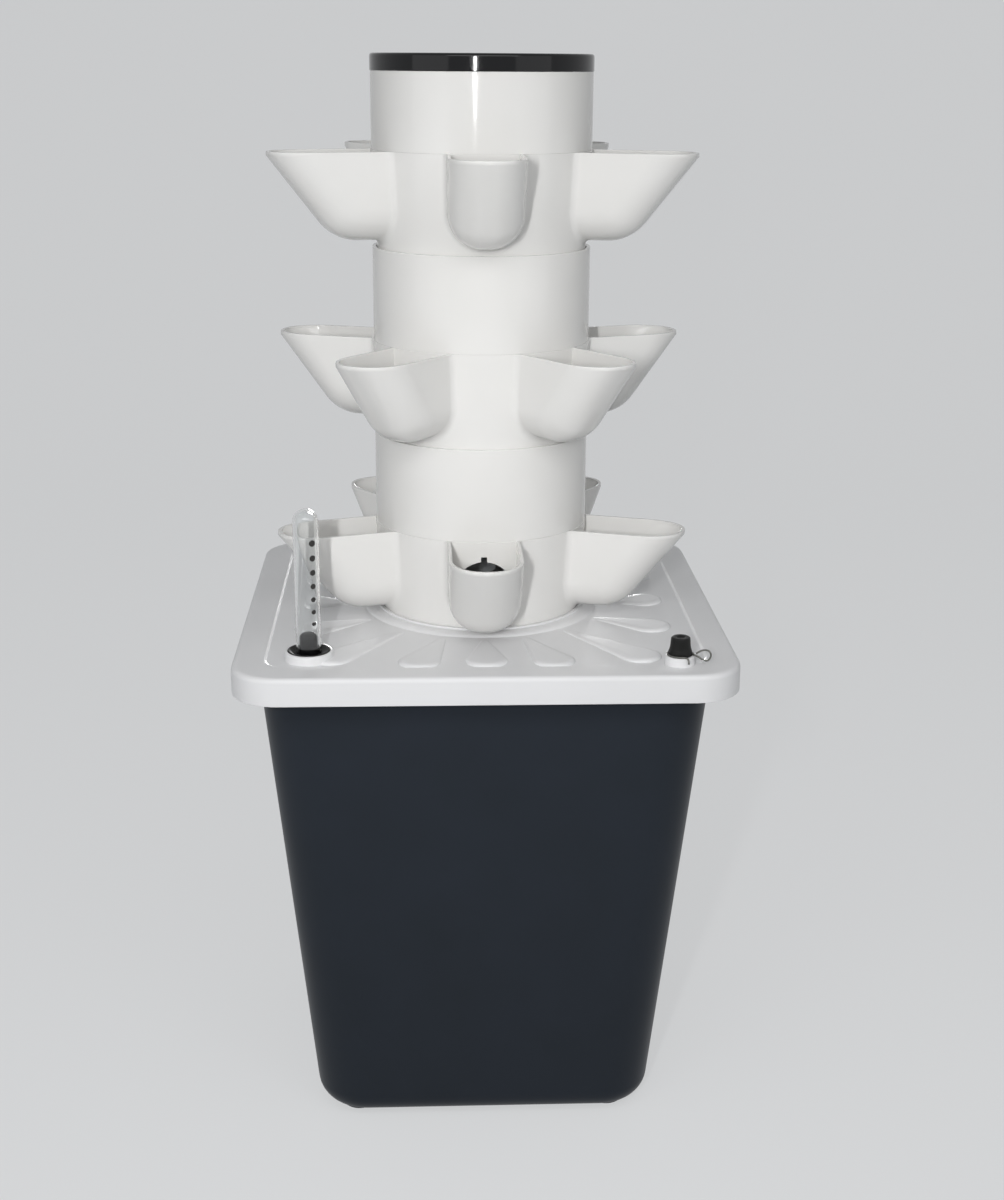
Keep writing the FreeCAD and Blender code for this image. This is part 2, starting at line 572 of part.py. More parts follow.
def build_cups():
    body = new_body("ring_cups")
    side = outline(new_sketch(body, "XZ_Plane"), [
        (CUP_ROOT, CUP_FLOOR), (CUP_HEEL, CUP_FLOOR), (CUP_TIP, CUP_BAND),
        (CUP_ROOT, CUP_BAND)])
    pad(body, side, "(2 * Dims.cup_half)", way="Symmetric")
    floor = "(%s + Dims.cup_wall)" % CUP_FLOOR
    lip = "(%s - Dims.cup_lip)" % CUP_TIP
    heel = "(%s - (%s - %s) * %s)" % (lip, CUP_BAND, floor, CUP_SLOPE)
    inside = outline(new_sketch(body, "XZ_Plane"), [
        (CUP_ROOT, floor), (heel, floor), (lip, CUP_BAND), (CUP_ROOT, CUP_BAND)])
    hollow = pocket(body, inside, "(2 * (Dims.cup_half - Dims.cup_wall))", way="Symmetric")
    inner = round_cup(body, hollow, "(Dims.cup_half - Dims.cup_wall)", floor, heel,
                      "(%s - Dims.cup_wall)" % CUP_SIDE_ROUND, "(Dims.cup_heel_round - Dims.cup_wall)")
    shaped = round_cup(body, inner, "Dims.cup_half", CUP_FLOOR, CUP_HEEL,
                       CUP_SIDE_ROUND, "Dims.cup_heel_round")
    doc.recompute()
    band_level = number_of(CUP_BAND)
    tops = ["Face%d" % k for k, face in enumerate(shaped.Shape.Faces, start=1)
            if near(face.CenterOfMass.z, band_level)]
    pad(body, (shaped, tops), "Dims.cup_band")
    base_middle, top_middle = wall_radius("0.5 * Dims.tower_wall")
    core = outline(new_sketch(body, "XZ_Plane"), [
        ("0", "0"), (base_middle, "0"), (base_middle, "Dims.spigot_length"),
        (top_middle, RING_TOP), (top_middle, "(%s + 1)" % RING_TOP), ("0", "(%s + 1)" % RING_TOP)])
    revolve(body, core, cut=True)
    polar(body, [], "Dims.cup_count", whole=True)
    return body


def build_ports():
    body = new_body("ring_ports")
    inner = "(%s - 4 * Dims.tower_wall)" % RING_BASE
    centre = "(Dims.spigot_length + Dims.port_rise)"
    hole = circle(new_sketch(body, "YZ_Plane", inner), "0", centre, "Dims.port_radius")
    depth = "(8 * Dims.tower_wall)"
    pad(body, hole, depth)
    notch = outline(new_sketch(body, "YZ_Plane", inner), [
        ("(-Dims.port_notch_half)", centre), ("Dims.port_notch_half", centre),
        ("Dims.port_notch_half", "(%s + Dims.port_radius + Dims.port_notch_rise)" % centre),
        ("(-Dims.port_notch_half)", "(%s + Dims.port_radius + Dims.port_notch_rise)" % centre)])
    pad(body, notch, depth)
    polar(body, [], "Dims.cup_count", whole=True)
    return body


def cup_half_at(rise):
    """Half width of a cup's outside at a height above its underside."""
    half, side_round = number_of("Dims.cup_half"), number_of(CUP_SIDE_ROUND)
    below = min(side_round, max(0.0, side_round - rise))
    return half - side_round + math.sqrt(side_round ** 2 - below ** 2)


def cup_root_edges(shape):
    """Numbers of the edges where the outside of a cup meets the outside of the ring's wall."""
    low, high = number_of("Dims.spigot_length"), number_of(RING_TOP)
    base, top = number_of(RING_BASE), number_of(RING_CREST)
    step = 2 * math.pi / number_of("Dims.cup_count")
    found = []
    for number, edge in enumerate(shape.Edges, start=1):
        first, last = edge.FirstParameter, edge.LastParameter
        points = [edge.valueAt(first + (last - first) * k / 4) for k in range(5)]
        off_wall = [abs(math.hypot(p.x, p.y) - base - (top - base) * (p.z - low) / (high - low))
                    for p in points]
        middle = points[2]
        rise = middle.z - number_of(CUP_FLOOR)
        if max(off_wall) > 0.02 or rise < -0.01 or middle.z > high - 0.1:
            continue
        turn = math.atan2(middle.y, middle.x)
        aside = math.hypot(middle.x, middle.y) * math.sin(turn - step * round(turn / step))
        half = cup_half_at(rise)
        if near(abs(aside), half, 0.05) or (rise < 0.01 and abs(aside) < half):
            found.append(number)
    return found


def build_rings():
    wall, cups, ports = build_ring_wall(), build_cups(), build_ports()
    place(wall, "0", 180 / number_of("Dims.cup_count"))
    plain = doc.addObject("Part::MultiFuse", "ring_with_cups")
    plain.Shapes = [wall, cups]
    plain.Refine = True
    doc.recompute()
    fused = doc.addObject("Part::Fillet", "ring_with_rooted_cups")
    fused.Base = plain
    root = number_of("Dims.cup_root_round")
    fused.Edges = [(number, root, root) for number in cup_root_edges(plain.Shape)]
    first_turn = -90.0
    middle_turn = first_turn + number_of("Dims.ring_turn")
    for level, (name, turn) in enumerate([("lower", first_turn), ("middle", middle_turn),
                                          ("upper", first_turn)]):
        ring = doc.addObject("Part::Cut", "planting_ring_" + name)
        ring.Base = fused
        ring.Tool = ports
        ring.Refine = True
        place(ring, "(%s + %d * %s - Dims.spigot_length)" % (LID_TOP, level, PITCH), turn)
        finished(ring, "planting_ring_" + name)


# Spacer tubes: a spigot below, a socket with a ledge above, and a spider that guides the riser pipe
def tube_section(height, ledge_drop):
    top = "(Dims.spigot_length + %s)" % height
    ledge = "(%s - %s)" % (top, ledge_drop)
    spigot = RING_BASE
    bore = "(%s - Dims.tower_wall)" % spigot
    shelf = "(%s - Dims.ledge_width)" % SOCKET_RADIUS
    return [
        (bore, "0"), (spigot, "0"), (spigot, "Dims.spigot_length"),
        ("Dims.tube_radius", "Dims.spigot_length"), ("Dims.tube_radius", top), (SOCKET_RADIUS, top),
        (SOCKET_RADIUS, ledge), (shelf, ledge), (shelf, "(%s - Dims.ledge_plate)" % ledge),
        (SOCKET_RADIUS, "(%s - Dims.ledge_plate - Dims.ledge_width)" % ledge),
        (SOCKET_RADIUS, "(Dims.spigot_length + 2 * Dims.tower_wall)"),
        (bore, "(Dims.spigot_length + Dims.tower_wall)")]


def build_tubes():
    for level, name in enumerate(["lower", "upper"]):
        body = turned_body("spacer_tube_" + name, tube_section("Dims.tube_height", "Dims.spigot_length"))
        ledge = "Dims.tube_height"
        hub = new_sketch(body, "XY_Plane", ledge)
        circle(hub, "0", "0", GUIDE_BORE)
        circle(hub, "0", "0", "(%s + Dims.ledge_plate)" % GUIDE_BORE)
        pad(body, hub, "Dims.spider_height", downward=True)
        arm = outline(new_sketch(body, "XY_Plane", ledge), [
            ("(%s + 0.5 * Dims.ledge_plate)" % GUIDE_BORE, "(-0.5 * Dims.ledge_plate)"),
            ("(%s + 0.5 * Dims.tower_wall)" % SOCKET_RADIUS, "(-0.5 * Dims.ledge_plate)"),
            ("(%s + 0.5 * Dims.tower_wall)" % SOCKET_RADIUS, "(0.5 * Dims.ledge_plate)"),
            ("(%s + 0.5 * Dims.ledge_plate)" % GUIDE_BORE, "(0.5 * Dims.ledge_plate)")])
        arms = pad(body, arm, "Dims.spider_height", downward=True)
        polar(body, [arms], "3")
        place(body, "(%s + Dims.ring_height + %d * %s - Dims.spigot_length)" % (LID_TOP, level, PITCH), 90)
        finished(body, "spacer_tube_" + name)
    body = turned_body("top_tube", tube_section("Dims.top_tube_height", "Dims.dish_drop"))
    place(body, "(%s + Dims.ring_height + 2 * %s - Dims.spigot_length)" % (LID_TOP, PITCH))
    finished(body, "top_tube")


# Water distributor: a dish with a rim and drip holes, and a boss round the end of the riser pipe
def build_distributor():
    edge = "(%s - Dims.spigot_gap)" % SOCKET_RADIUS
    sleeve = "(Dims.pipe_radius + 3 * Dims.pipe_gap)"
    boss = "(%s + Dims.socket_wall)" % sleeve
    drop = "Dims.socket_depth"
    floor = "(%s + Dims.dish_plate)" % drop
    body = turned_body("water_distributor", [
        (sleeve, "0"), (boss, "0"), (boss, drop), (edge, drop), (edge, "(%s + Dims.dish_rim)" % drop),
        ("(%s - Dims.dish_plate)" % edge, "(%s + Dims.dish_rim)" % drop),
        ("(%s - Dims.dish_plate)" % edge, floor), (sleeve, floor)])
    hole = circle(new_sketch(body, "XY_Plane", floor), "(Dims.tube_radius - Dims.drip_hole_inset)", "0",
                  "Dims.drip_hole_radius")
    holes = pocket(body, hole, "(2 * Dims.dish_plate)")
    polar(body, [holes], "Dims.drip_hole_count")
    place(body, "(%s - Dims.socket_depth)" % DISH_SEAT)
    return finished(body, "water_distributor")


# Cap: a shallow cover whose plug stands in the top tube
def build_cap():
    plug = RING_BASE
    drop = "Dims.spigot_length"
    top = "(%s + Dims.cap_height)" % drop
    edge = "(Dims.tube_radius + Dims.cap_overhang)"
    body = turned_body("top_cap", [
        ("(%s - Dims.cap_plate)" % plug, "0"), (plug, "0"), (plug, drop), (edge, drop),
        (edge, top), ("0", top), ("0", "(%s - Dims.cap_plate)" % top),
        ("(%s - Dims.cap_plate)" % plug, "(%s - Dims.cap_plate)" % top)])
    level, radius = number_of(top), number_of(edge)
    rounding(body, body.Tip, "Dims.cap_round",
             lambda at, _: near(at.z, level) and near(math.hypot(at.x, at.y), radius))
    place(body, "(%s - Dims.spigot_length)" % TOWER_TOP)
    return finished(body, "top_cap")


# Riser pipe: equal lengths, each with a socket at its foot that stands over the end of the one below
def build_riser():
    bore = "(Dims.pipe_radius - Dims.pipe_wall)"
    grip = "(Dims.pipe_radius + Dims.pipe_gap)"
    for k in range(int(number_of("Dims.pipe_count"))):
        label = "riser_pipe_%d" % (k + 1)
        body = turned_body(label, [
            (grip, "0"), (PIPE_SOCKET, "0"), (PIPE_SOCKET, "(Dims.socket_depth + Dims.socket_wall)"),
            ("Dims.pipe_radius", "(Dims.socket_depth + 2 * Dims.socket_wall)"),
            ("Dims.pipe_radius", "(Dims.socket_depth + %s)" % PIPE_STEP),
            (bore, "(Dims.socket_depth + %s)" % PIPE_STEP), (bore, "Dims.socket_depth"),
            (grip, "Dims.socket_depth")])
        place(body, "(%s - Dims.socket_depth + %d * %s)" % (PIPE_FOOT, k, PIPE_STEP))
        finished(body, label)


# Pump: a moulded housing with an impeller chamber in its front, which looks along +X
PUMP_AXIS = "(%s + 0.5 * Dims.pump_body_height)" % PUMP_BASE


def build_pump_housing():
    body = new_body("pump_housing")
    base = outline(new_sketch(body, "XY_Plane", PUMP_BASE), [
        ("(Dims.pump_ahead - Dims.pump_length)", "(-0.5 * Dims.pump_width)"),
        ("Dims.pump_ahead", "(-0.5 * Dims.pump_width)"), ("Dims.pump_ahead", "(0.5 * Dims.pump_width)"),
        ("(Dims.pump_ahead - Dims.pump_length)", "(0.5 * Dims.pump_width)")])
    block = pad(body, base, "Dims.pump_body_height")
    front = number_of("Dims.pump_ahead")
    rounding(body, block, "Dims.pump_round", lambda at, _: at.x < front - 1)
    stub = circle(new_sketch(body, "XY_Plane", PUMP_TOP), "0", "0", "Dims.pipe_radius")
    pad(body, stub, "Dims.outlet_height")
    chamber = circle(new_sketch(body, "YZ_Plane", "Dims.pump_ahead"), "0", PUMP_AXIS, "Dims.chamber_radius")
    pocket(body, chamber, "Dims.chamber_depth")
    well = circle(new_sketch(body, "YZ_Plane", "(Dims.pump_ahead - Dims.chamber_depth + 0.5)"), "0",
                  PUMP_AXIS, "(Dims.magnet_radius + 0.8)")
    pocket(body, well, "(Dims.magnet_length + 0.8)")
    bore = circle(new_sketch(body, "XY_Plane", "(%s + Dims.outlet_height)" % PUMP_TOP), "0", "0",
                  "(Dims.pipe_radius - Dims.pipe_wall)")
    pocket(body, bore, "(Dims.outlet_height + 0.5 * Dims.pump_body_height)")
    gland = circle(new_sketch(body, "YZ_Plane", "(Dims.pump_ahead - Dims.pump_length)"), "0",
                   "(%s + 0.25 * Dims.pump_body_height)" % PUMP_AXIS, "Dims.gland_radius")
    pad(body, gland, "Dims.gland_length", downward=True)
    return finished(body, "pump_housing")


def build_pump_cover():
    body = new_body("pump_cover")
    plate = outline(new_sketch(body, "YZ_Plane", "Dims.pump_ahead"), [
        ("(-0.5 * Dims.pump_width)", PUMP_BASE), ("(0.5 * Dims.pump_width)", PUMP_BASE),
        ("(0.5 * Dims.pump_width)", PUMP_TOP), ("(-0.5 * Dims.pump_width)", PUMP_TOP)])
    slab = pad(body, plate, "Dims.cover_plate")
    rounding(body, slab, "Dims.pump_round",
             lambda at, edge: near(edge.Length, number_of("Dims.cover_plate")))
    intake = circle(new_sketch(body, "YZ_Plane", "(Dims.pump_ahead + Dims.cover_plate)"), "0", PUMP_AXIS,
                    "Dims.intake_radius")
    pocket(body, intake)
    return finished(body, "pump_cover")


def build_pump_cage():
    """The slotted cage over the intake, which keeps roots out of the impeller."""
    body = new_body("pump_intake_cage")
    face = "(Dims.pump_ahead + Dims.cover_plate)"
    half = "(0.5 * Dims.pump_width - Dims.pump_round)"
    shell = outline(new_sketch(body, "YZ_Plane", face), [
        ("(-%s)" % half, "(%s - %s)" % (PUMP_AXIS, half)), (half, "(%s - %s)" % (PUMP_AXIS, half)),
        (half, "(%s + %s)" % (PUMP_AXIS, half)), ("(-%s)" % half, "(%s + %s)" % (PUMP_AXIS, half))])
    pad(body, shell, "Dims.cage_depth")
    inner = "(%s - Dims.cage_wall)" % half
    hollow = outline(new_sketch(body, "YZ_Plane", face), [
        ("(-%s)" % inner, "(%s - %s)" % (PUMP_AXIS, inner)), (inner, "(%s - %s)" % (PUMP_AXIS, inner)),
        (inner, "(%s + %s)" % (PUMP_AXIS, inner)), ("(-%s)" % inner, "(%s + %s)" % (PUMP_AXIS, inner))])
    pocket(body, hollow, "(Dims.cage_depth - Dims.cage_wall)", upward=True)
    slots = new_sketch(body, "YZ_Plane", "(%s + Dims.cage_depth)" % face)
    count = int(number_of("Dims.cage_slot_count"))
    for k in range(count):
        middle = "(%s - %s + (%d + 0.5) * 2 * %s / Dims.cage_slot_count)" % (PUMP_AXIS, inner, k, inner)
        rise = "(0.5 * %s / Dims.cage_slot_count)" % inner
        outline(slots, [
            ("(-%s)" % inner, "(%s - %s)" % (middle, rise)), (inner, "(%s - %s)" % (middle, rise)),
            (inner, "(%s + %s)" % (middle, rise)), ("(-%s)" % inner, "(%s + %s)" % (middle, rise))])
    pocket(body, slots, "(1.5 * Dims.cage_wall)")
    return finished(body, "pump_intake_cage")


def build_impeller():
    """Blades on a disc with the magnet rotor behind it, bored for the shaft. Its axis is its own Z."""
    bore = "(Dims.shaft_radius + Dims.shaft_gap)"
    hub = "(Dims.shaft_radius + Dims.hub_wall)"
    disc = "Dims.magnet_length"
    body = turned_body("pump_impeller", [
        (bore, "0"), ("Dims.magnet_radius", "0"), ("Dims.magnet_radius", disc),
        ("Dims.impeller_radius", disc), ("Dims.impeller_radius", "(%s + Dims.disc_plate)" % disc),
        (hub, "(%s + Dims.disc_plate)" % disc), (hub, "(%s + Dims.impeller_length)" % disc),
        (bore, "(%s + Dims.impeller_length)" % disc)])
    root = "(Dims.shaft_radius + 0.5 * Dims.hub_wall)"
    tip = "(Dims.impeller_radius - 0.2 * Dims.disc_plate)"
    side = "(0.5 * Dims.blade_plate)"
    blade = outline(new_sketch(body, "XY_Plane", "(%s + 0.5 * Dims.disc_plate)" % disc), [
        (root, "(-%s)" % side), (tip, "(-%s)" % side), (tip, side), (root, side)])
    blades = pad(body, blade, "(Dims.impeller_length - 0.5 * Dims.disc_plate)")
    polar(body, [blades], "Dims.blade_count")
    body.Placement = Placement(Vector(0, 0, 0), Rotation(Vector(0, 1, 0), 90))
    body.setExpression("Placement.Base.x", "(Dims.pump_ahead - Dims.chamber_depth - Dims.magnet_length + 2)")
    body.setExpression("Placement.Base.z", PUMP_AXIS)
    return finished(body, "pump_impeller")


def build_shaft():
    """The steel shaft, held in the housing behind the rotor and in the cover in front of it."""
    body = new_body("pump_shaft")
    start = "(Dims.pump_ahead - Dims.chamber_depth - Dims.magnet_length - 0.3)"
    rod = circle(new_sketch(body, "YZ_Plane", start), "0", PUMP_AXIS, "Dims.shaft_radius")
    pad(body, rod, "(Dims.chamber_depth + Dims.magnet_length)")
    return finished(body, "pump_shaft")


def build_suction_feet():
    """Four suction feet under the pump, as one group."""
    spread_x = "(0.5 * Dims.pump_length - 1.4 * Dims.suction_radius)"
    spread_y = "(0.5 * Dims.pump_width - 1.25 * Dims.suction_radius)"
    middle = "(Dims.pump_ahead - 0.5 * Dims.pump_length)"
    shoulder = "(0.8 * Dims.pump_lift)"
    feet = []
    for side_x in (-1, 1):
        for side_y in (-1, 1):
            foot = turned_body("suction_foot", [
                ("0", "(0.25 * Dims.pump_lift)"), ("(0.55 * Dims.suction_radius)", "(0.15 * Dims.pump_lift)"),
                ("(0.9 * Dims.suction_radius)", "0"), ("Dims.suction_radius", "0"),
                ("Dims.suction_radius", "(0.08 * Dims.pump_lift)"),
                ("(1.2 * Dims.suction_neck)", "(0.42 * Dims.pump_lift)"), ("Dims.suction_neck", shoulder),
                ("Dims.suction_plug", shoulder), ("Dims.suction_plug", "Dims.pump_lift"),
                ("0", "Dims.pump_lift")])
            place(foot, TANK_INSIDE, x="(%s + %d * %s)" % (middle, side_x, spread_x),
                  y="(%d * %s)" % (side_y, spread_y))
            feet.append(foot)
    group = doc.addObject("Part::Compound", "pump_suction_feet")
    group.Links = feet
    return finished(group, "pump_suction_feet")


# Level gauge: a rubber grommet in the lid's boss, a domed glass in it and a float on a rod inside
BOSS_TOP = "(%s + Dims.gauge_boss_height)" % LID_TOP


def build_gauge():
    inside = "(Dims.glass_radius + Dims.grommet_gap)"
    hole = "(Dims.rod_radius + Dims.rod_gap)"
    depth = "(Dims.lid_plate + Dims.gauge_boss_height)"
    flange = "(%s + Dims.grommet_floor)" % depth
    crest = "(%s + Dims.grommet_plate)" % flange
    grip = "(%s + 0.5 * Dims.grommet_plate)" % flange
    grommet = turned_body("gauge_grommet", [
        (hole, "0"), ("(Dims.grommet_neck - 0.5 * Dims.grommet_bevel)", "0"),
        ("Dims.grommet_neck", "Dims.grommet_bevel"), ("Dims.grommet_neck", flange),
        ("Dims.grommet_radius", flange), ("Dims.grommet_radius", crest),
        ("(Dims.grommet_radius - Dims.grommet_bevel)", crest),
        ("(%s + 0.5 * Dims.grommet_bevel)" % inside, grip), (inside, grip),
        (inside, "Dims.grommet_floor"), (hole, "Dims.grommet_floor")])
    place(grommet, "(%s - %s)" % (BOSS_TOP, flange), x=GAUGE_X, y=GAUGE_Y)
    finished(grommet, "gauge_grommet")
    foot = "(%s - %s + Dims.grommet_floor)" % (BOSS_TOP, flange)
    tall = "(%s + Dims.glass_height - %s)" % (BOSS_TOP, foot)
    body = new_body("gauge_glass")
    tube = outline(new_sketch(body, "XZ_Plane"), [
        ("0", "0"), ("Dims.glass_radius", "0"), ("Dims.glass_radius", tall), ("0", tall)])
    solid = revolve(body, tube)
    dome, radius = number_of(tall), number_of("Dims.glass_radius")
    rounding(body, solid, "(0.98 * Dims.glass_radius)",
             lambda at, _: near(at.z, dome) and near(math.hypot(at.x, at.y), radius))
    bore = outline(new_sketch(body, "XZ_Plane"), [
        ("0", "0"), ("(Dims.glass_radius - Dims.glass_wall)", "0"),
        ("(Dims.glass_radius - Dims.glass_wall)", "(%s - Dims.glass_radius)" % tall),
        ("(0.7 * Dims.glass_radius)", "(%s - 0.6 * Dims.glass_radius)" % tall),
        ("(0.35 * Dims.glass_radius)", "(%s - 0.25 * Dims.glass_radius)" % tall),
        ("0", "(%s - Dims.glass_wall)" % tall)])
    revolve(body, bore, cut=True)
    place(body, foot, x=GAUGE_X, y=GAUGE_Y)
    finished(body, "gauge_glass")
    low = "(Dims.float_length + Dims.rod_length)"
    top = "(%s + Dims.head_height)" % low
    slim, thin = "(Dims.float_radius - Dims.float_bevel)", "(Dims.head_radius - Dims.float_bevel)"
    rod = turned_body("gauge_float", [
        ("0", "0"), (slim, "0"), ("Dims.float_radius", "Dims.float_bevel"),
        ("Dims.float_radius", "(Dims.float_length - Dims.float_bevel)"), (slim, "Dims.float_length"),
        ("Dims.rod_radius", "Dims.float_length"), ("Dims.rod_radius", low), ("Dims.head_radius", low),
        ("Dims.head_radius", "(%s - Dims.float_bevel)" % top), (thin, top), ("0", top)])
    place(rod, "(%s - %s)" % (foot, low), x=GAUGE_X, y=GAUGE_Y)
    finished(rod, "gauge_float")


# Filler: a tapered rubber bung with a dimple in its top, and the wire that is wound round its foot
FILLER_TOP = "(%s + Dims.bung_boss_height)" % LID_TOP


def build_bung():
    neck = "(Dims.bung_boss_height + Dims.lid_plate)"
    top = "(%s + Dims.bung_height)" % neck
    body = turned_body("filler_bung", [
        ("0", "0"), ("(Dims.bung_neck - Dims.bung_bevel)", "0"),
        ("Dims.bung_neck", "(1.5 * Dims.bung_bevel)"), ("Dims.bung_neck", neck),
        ("Dims.bung_low_radius", neck), ("Dims.bung_low_radius", "(%s + 0.18 * Dims.bung_height)" % neck),
        ("(1.05 * Dims.bung_top_radius)", "(%s + 0.55 * Dims.bung_height)" % neck),
        ("Dims.bung_top_radius", "(%s - Dims.bung_bevel)" % top),
        ("(Dims.bung_top_radius - Dims.bung_bevel)", top), ("(0.5 * Dims.bung_top_radius)", top),
        ("(0.4 * Dims.bung_top_radius)", "(%s - Dims.bung_dimple)" % top),
        ("0", "(%s - Dims.bung_dimple)" % top)])
    place(body, "(%s - %s)" % (FILLER_TOP, neck), x=BUNG_X, y=BUNG_Y)
    return finished(body, "filler_bung")


def build_wire():
    """A bent wire: three quarters of a turn round the bung, then out to an open eye."""
    wire = number_of("Dims.wire_radius")
    loop = number_of("Dims.bung_low_radius + Dims.wire_gap + Dims.wire_radius")
    eye = number_of("Dims.wire_eye_radius")

    def on_loop(angle):
        return Vector(loop * math.cos(angle), loop * math.sin(angle), 0)

    crossing = math.radians(-20)
    round_bung = Part.Arc(on_loop(crossing), on_loop(crossing - math.radians(150)),
                          on_loop(crossing - math.radians(300))).toShape()
    outward = Vector(-math.sin(crossing), math.cos(crossing), 0)
    eye_start = on_loop(crossing) + outward * number_of("Dims.wire_tail")
    to_eye = Part.LineSegment(on_loop(crossing), eye_start).toShape()
    side = Vector(outward.y, -outward.x, 0)
    centre = eye_start + side * eye
    eye_arc = Part.Arc(eye_start, centre + outward * eye, centre + side * eye).toShape()
    path = Part.Wire([round_bung.reversed(), to_eye, eye_arc])
    start = path.OrderedVertexes[0].Point
    section = Part.Wire(Part.Circle(start, path.OrderedEdges[0].tangentAt(
        path.OrderedEdges[0].FirstParameter), wire).toShape())
    bent = path.makePipeShell([section], True, False)
    item = doc.addObject("Part::Feature", "bung_wire")
    item.Shape = bent
    place(item, "(%s + Dims.wire_radius + Dims.wire_gap)" % FILLER_TOP, x=BUNG_X, y=BUNG_Y)
    return finished(item, "bung_wire")


build_tank()
build_tank_rim()
build_lid()
build_rings()
build_tubes()
build_distributor()
build_cap()
build_riser()
build_pump_housing()
build_pump_cover()
build_pump_cage()
build_impeller()
build_shaft()
build_suction_feet()
build_gauge()
build_bung()
build_wire()
doc.recompute()

# Nothing is written unless every object is sound
faults = []
for item in doc.Objects:
    if "Invalid" in item.State or "Error" in item.State:
        faults.append("%s: %s" % (item.Label, item.State))
for item in SUB_PARTS:
    if item.Shape.isNull() or not item.Shape.isValid() or not item.Shape.Solids:
        faults.append("%s: shape is not sound" % item.Label)
if faults:
    raise RuntimeError("; ".join(faults))

os.makedirs("parts", exist_ok=True)
for item in SUB_PARTS:
    item.Shape.exportStep("parts/%s.step" % item.Label)
    box = item.Shape.BoundBox
    print("%-22s %2d solid  %9.1f mm3  z %6.1f to %6.1f" % (
        item.Label, len(item.Shape.Solids), item.Shape.Volume, box.ZMin, box.ZMax))
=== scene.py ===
# %% [markdown]
# # A planter tower on a water tank
# The object is a square water tank with a lid, and on the lid a round tower of planting rings and plain
# tubes. A level gauge and a filler bung stand on the front corners of the lid.
# A CAD program made the solids. Here Blender dresses them: each solid is either kept and given a finish, or
# stood in for by a mesh with softer edges. The scene is in metres, in the same place as the solids, and MM
# turns the lengths of the pieces, which are given in millimetres.

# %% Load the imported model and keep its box
import bmesh
import bpy
import math
import numpy as np
from mathutils import Matrix, Vector


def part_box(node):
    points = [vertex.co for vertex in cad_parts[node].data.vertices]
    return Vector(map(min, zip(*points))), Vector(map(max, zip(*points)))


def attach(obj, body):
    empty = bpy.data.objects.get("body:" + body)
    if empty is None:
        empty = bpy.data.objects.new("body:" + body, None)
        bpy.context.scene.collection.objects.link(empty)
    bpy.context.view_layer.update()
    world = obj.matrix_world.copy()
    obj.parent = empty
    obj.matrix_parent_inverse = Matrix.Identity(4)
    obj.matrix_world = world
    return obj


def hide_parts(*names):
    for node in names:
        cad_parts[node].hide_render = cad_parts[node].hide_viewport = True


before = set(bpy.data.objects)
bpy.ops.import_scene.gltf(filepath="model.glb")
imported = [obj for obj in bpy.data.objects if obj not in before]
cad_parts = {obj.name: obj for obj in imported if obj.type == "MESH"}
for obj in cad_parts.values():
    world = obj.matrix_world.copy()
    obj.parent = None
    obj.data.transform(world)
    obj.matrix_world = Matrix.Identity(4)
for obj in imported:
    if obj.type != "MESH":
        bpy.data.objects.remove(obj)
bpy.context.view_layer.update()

# %% [markdown]
# ## Colours and nodes
# A colour picker gives sRGB values, and a shader works with linear ones, so one function turns the first into
# the second. A material is a small graph of nodes; one more function adds a node, sets it and links it, which
# keeps each finish short to read. Two others start a material and put an object into the scene.

# %% Colour, node and scene helpers
MM = 0.001


def linear(hex_colour):
    """A linear colour from six sRGB hex digits."""
    channels = [int(hex_colour[k:k + 2], 16) / 255 for k in (0, 2, 4)]
    return tuple(c / 12.92 if c <= 0.04045 else ((c + 0.055) / 1.055) ** 2.4 for c in channels) + (1.0,)


def add_node(tree, kind, inputs=None, **settings):
    """Add a node with its settings and inputs: plain values, or sockets or nodes to link."""
    node = tree.nodes.new(kind)
    for key, value in settings.items():
        setattr(node, key, value)
    for key, value in (inputs or {}).items():
        if isinstance(value, bpy.types.Node):
            value = value.outputs[0]
        if isinstance(value, bpy.types.NodeSocket):
            tree.links.new(value, node.inputs[key])
        else:
            node.inputs[key].default_value = value
    return node


def new_material(name):
    """A new material, its graph, and in it a socket for the place on the object."""
    material = bpy.data.materials.new(name)
    material.use_nodes = True
    tree = material.node_tree
    tree.nodes.clear()
    return material, tree, add_node(tree, "ShaderNodeTexCoord").outputs["Object"]


def linked(name, data):
    """A new object with that data, linked to the scene."""
    item = bpy.data.objects.new(name, data)
    bpy.context.scene.collection.objects.link(item)
    return item


print("linear mid grey:", [round(c, 3) for c in linear("808080")])

# %% [markdown]
# ## Moulded plastics
# Most of the planter is injection moulded. Such a surface has one colour all through, a gloss that comes from
# how finely the steel mould was polished, a very faint grain, and a slow waviness where thick and thin walls
# cooled at different speeds. That waviness is what bends a reflection on real plastic, so it matters more to
# the eye than the grain. Both are noise patterns sized in millimetres. The real grain is a few hundredths of
# a millimetre wide and would not show, so it is drawn 0.4 to 0.9 mm wide.

# %% Recipe for a moulded plastic
COLOUR_DRIFT, POLISH_SPREAD, STEEL_SPREAD = 45 * MM, 0.12, 0.3


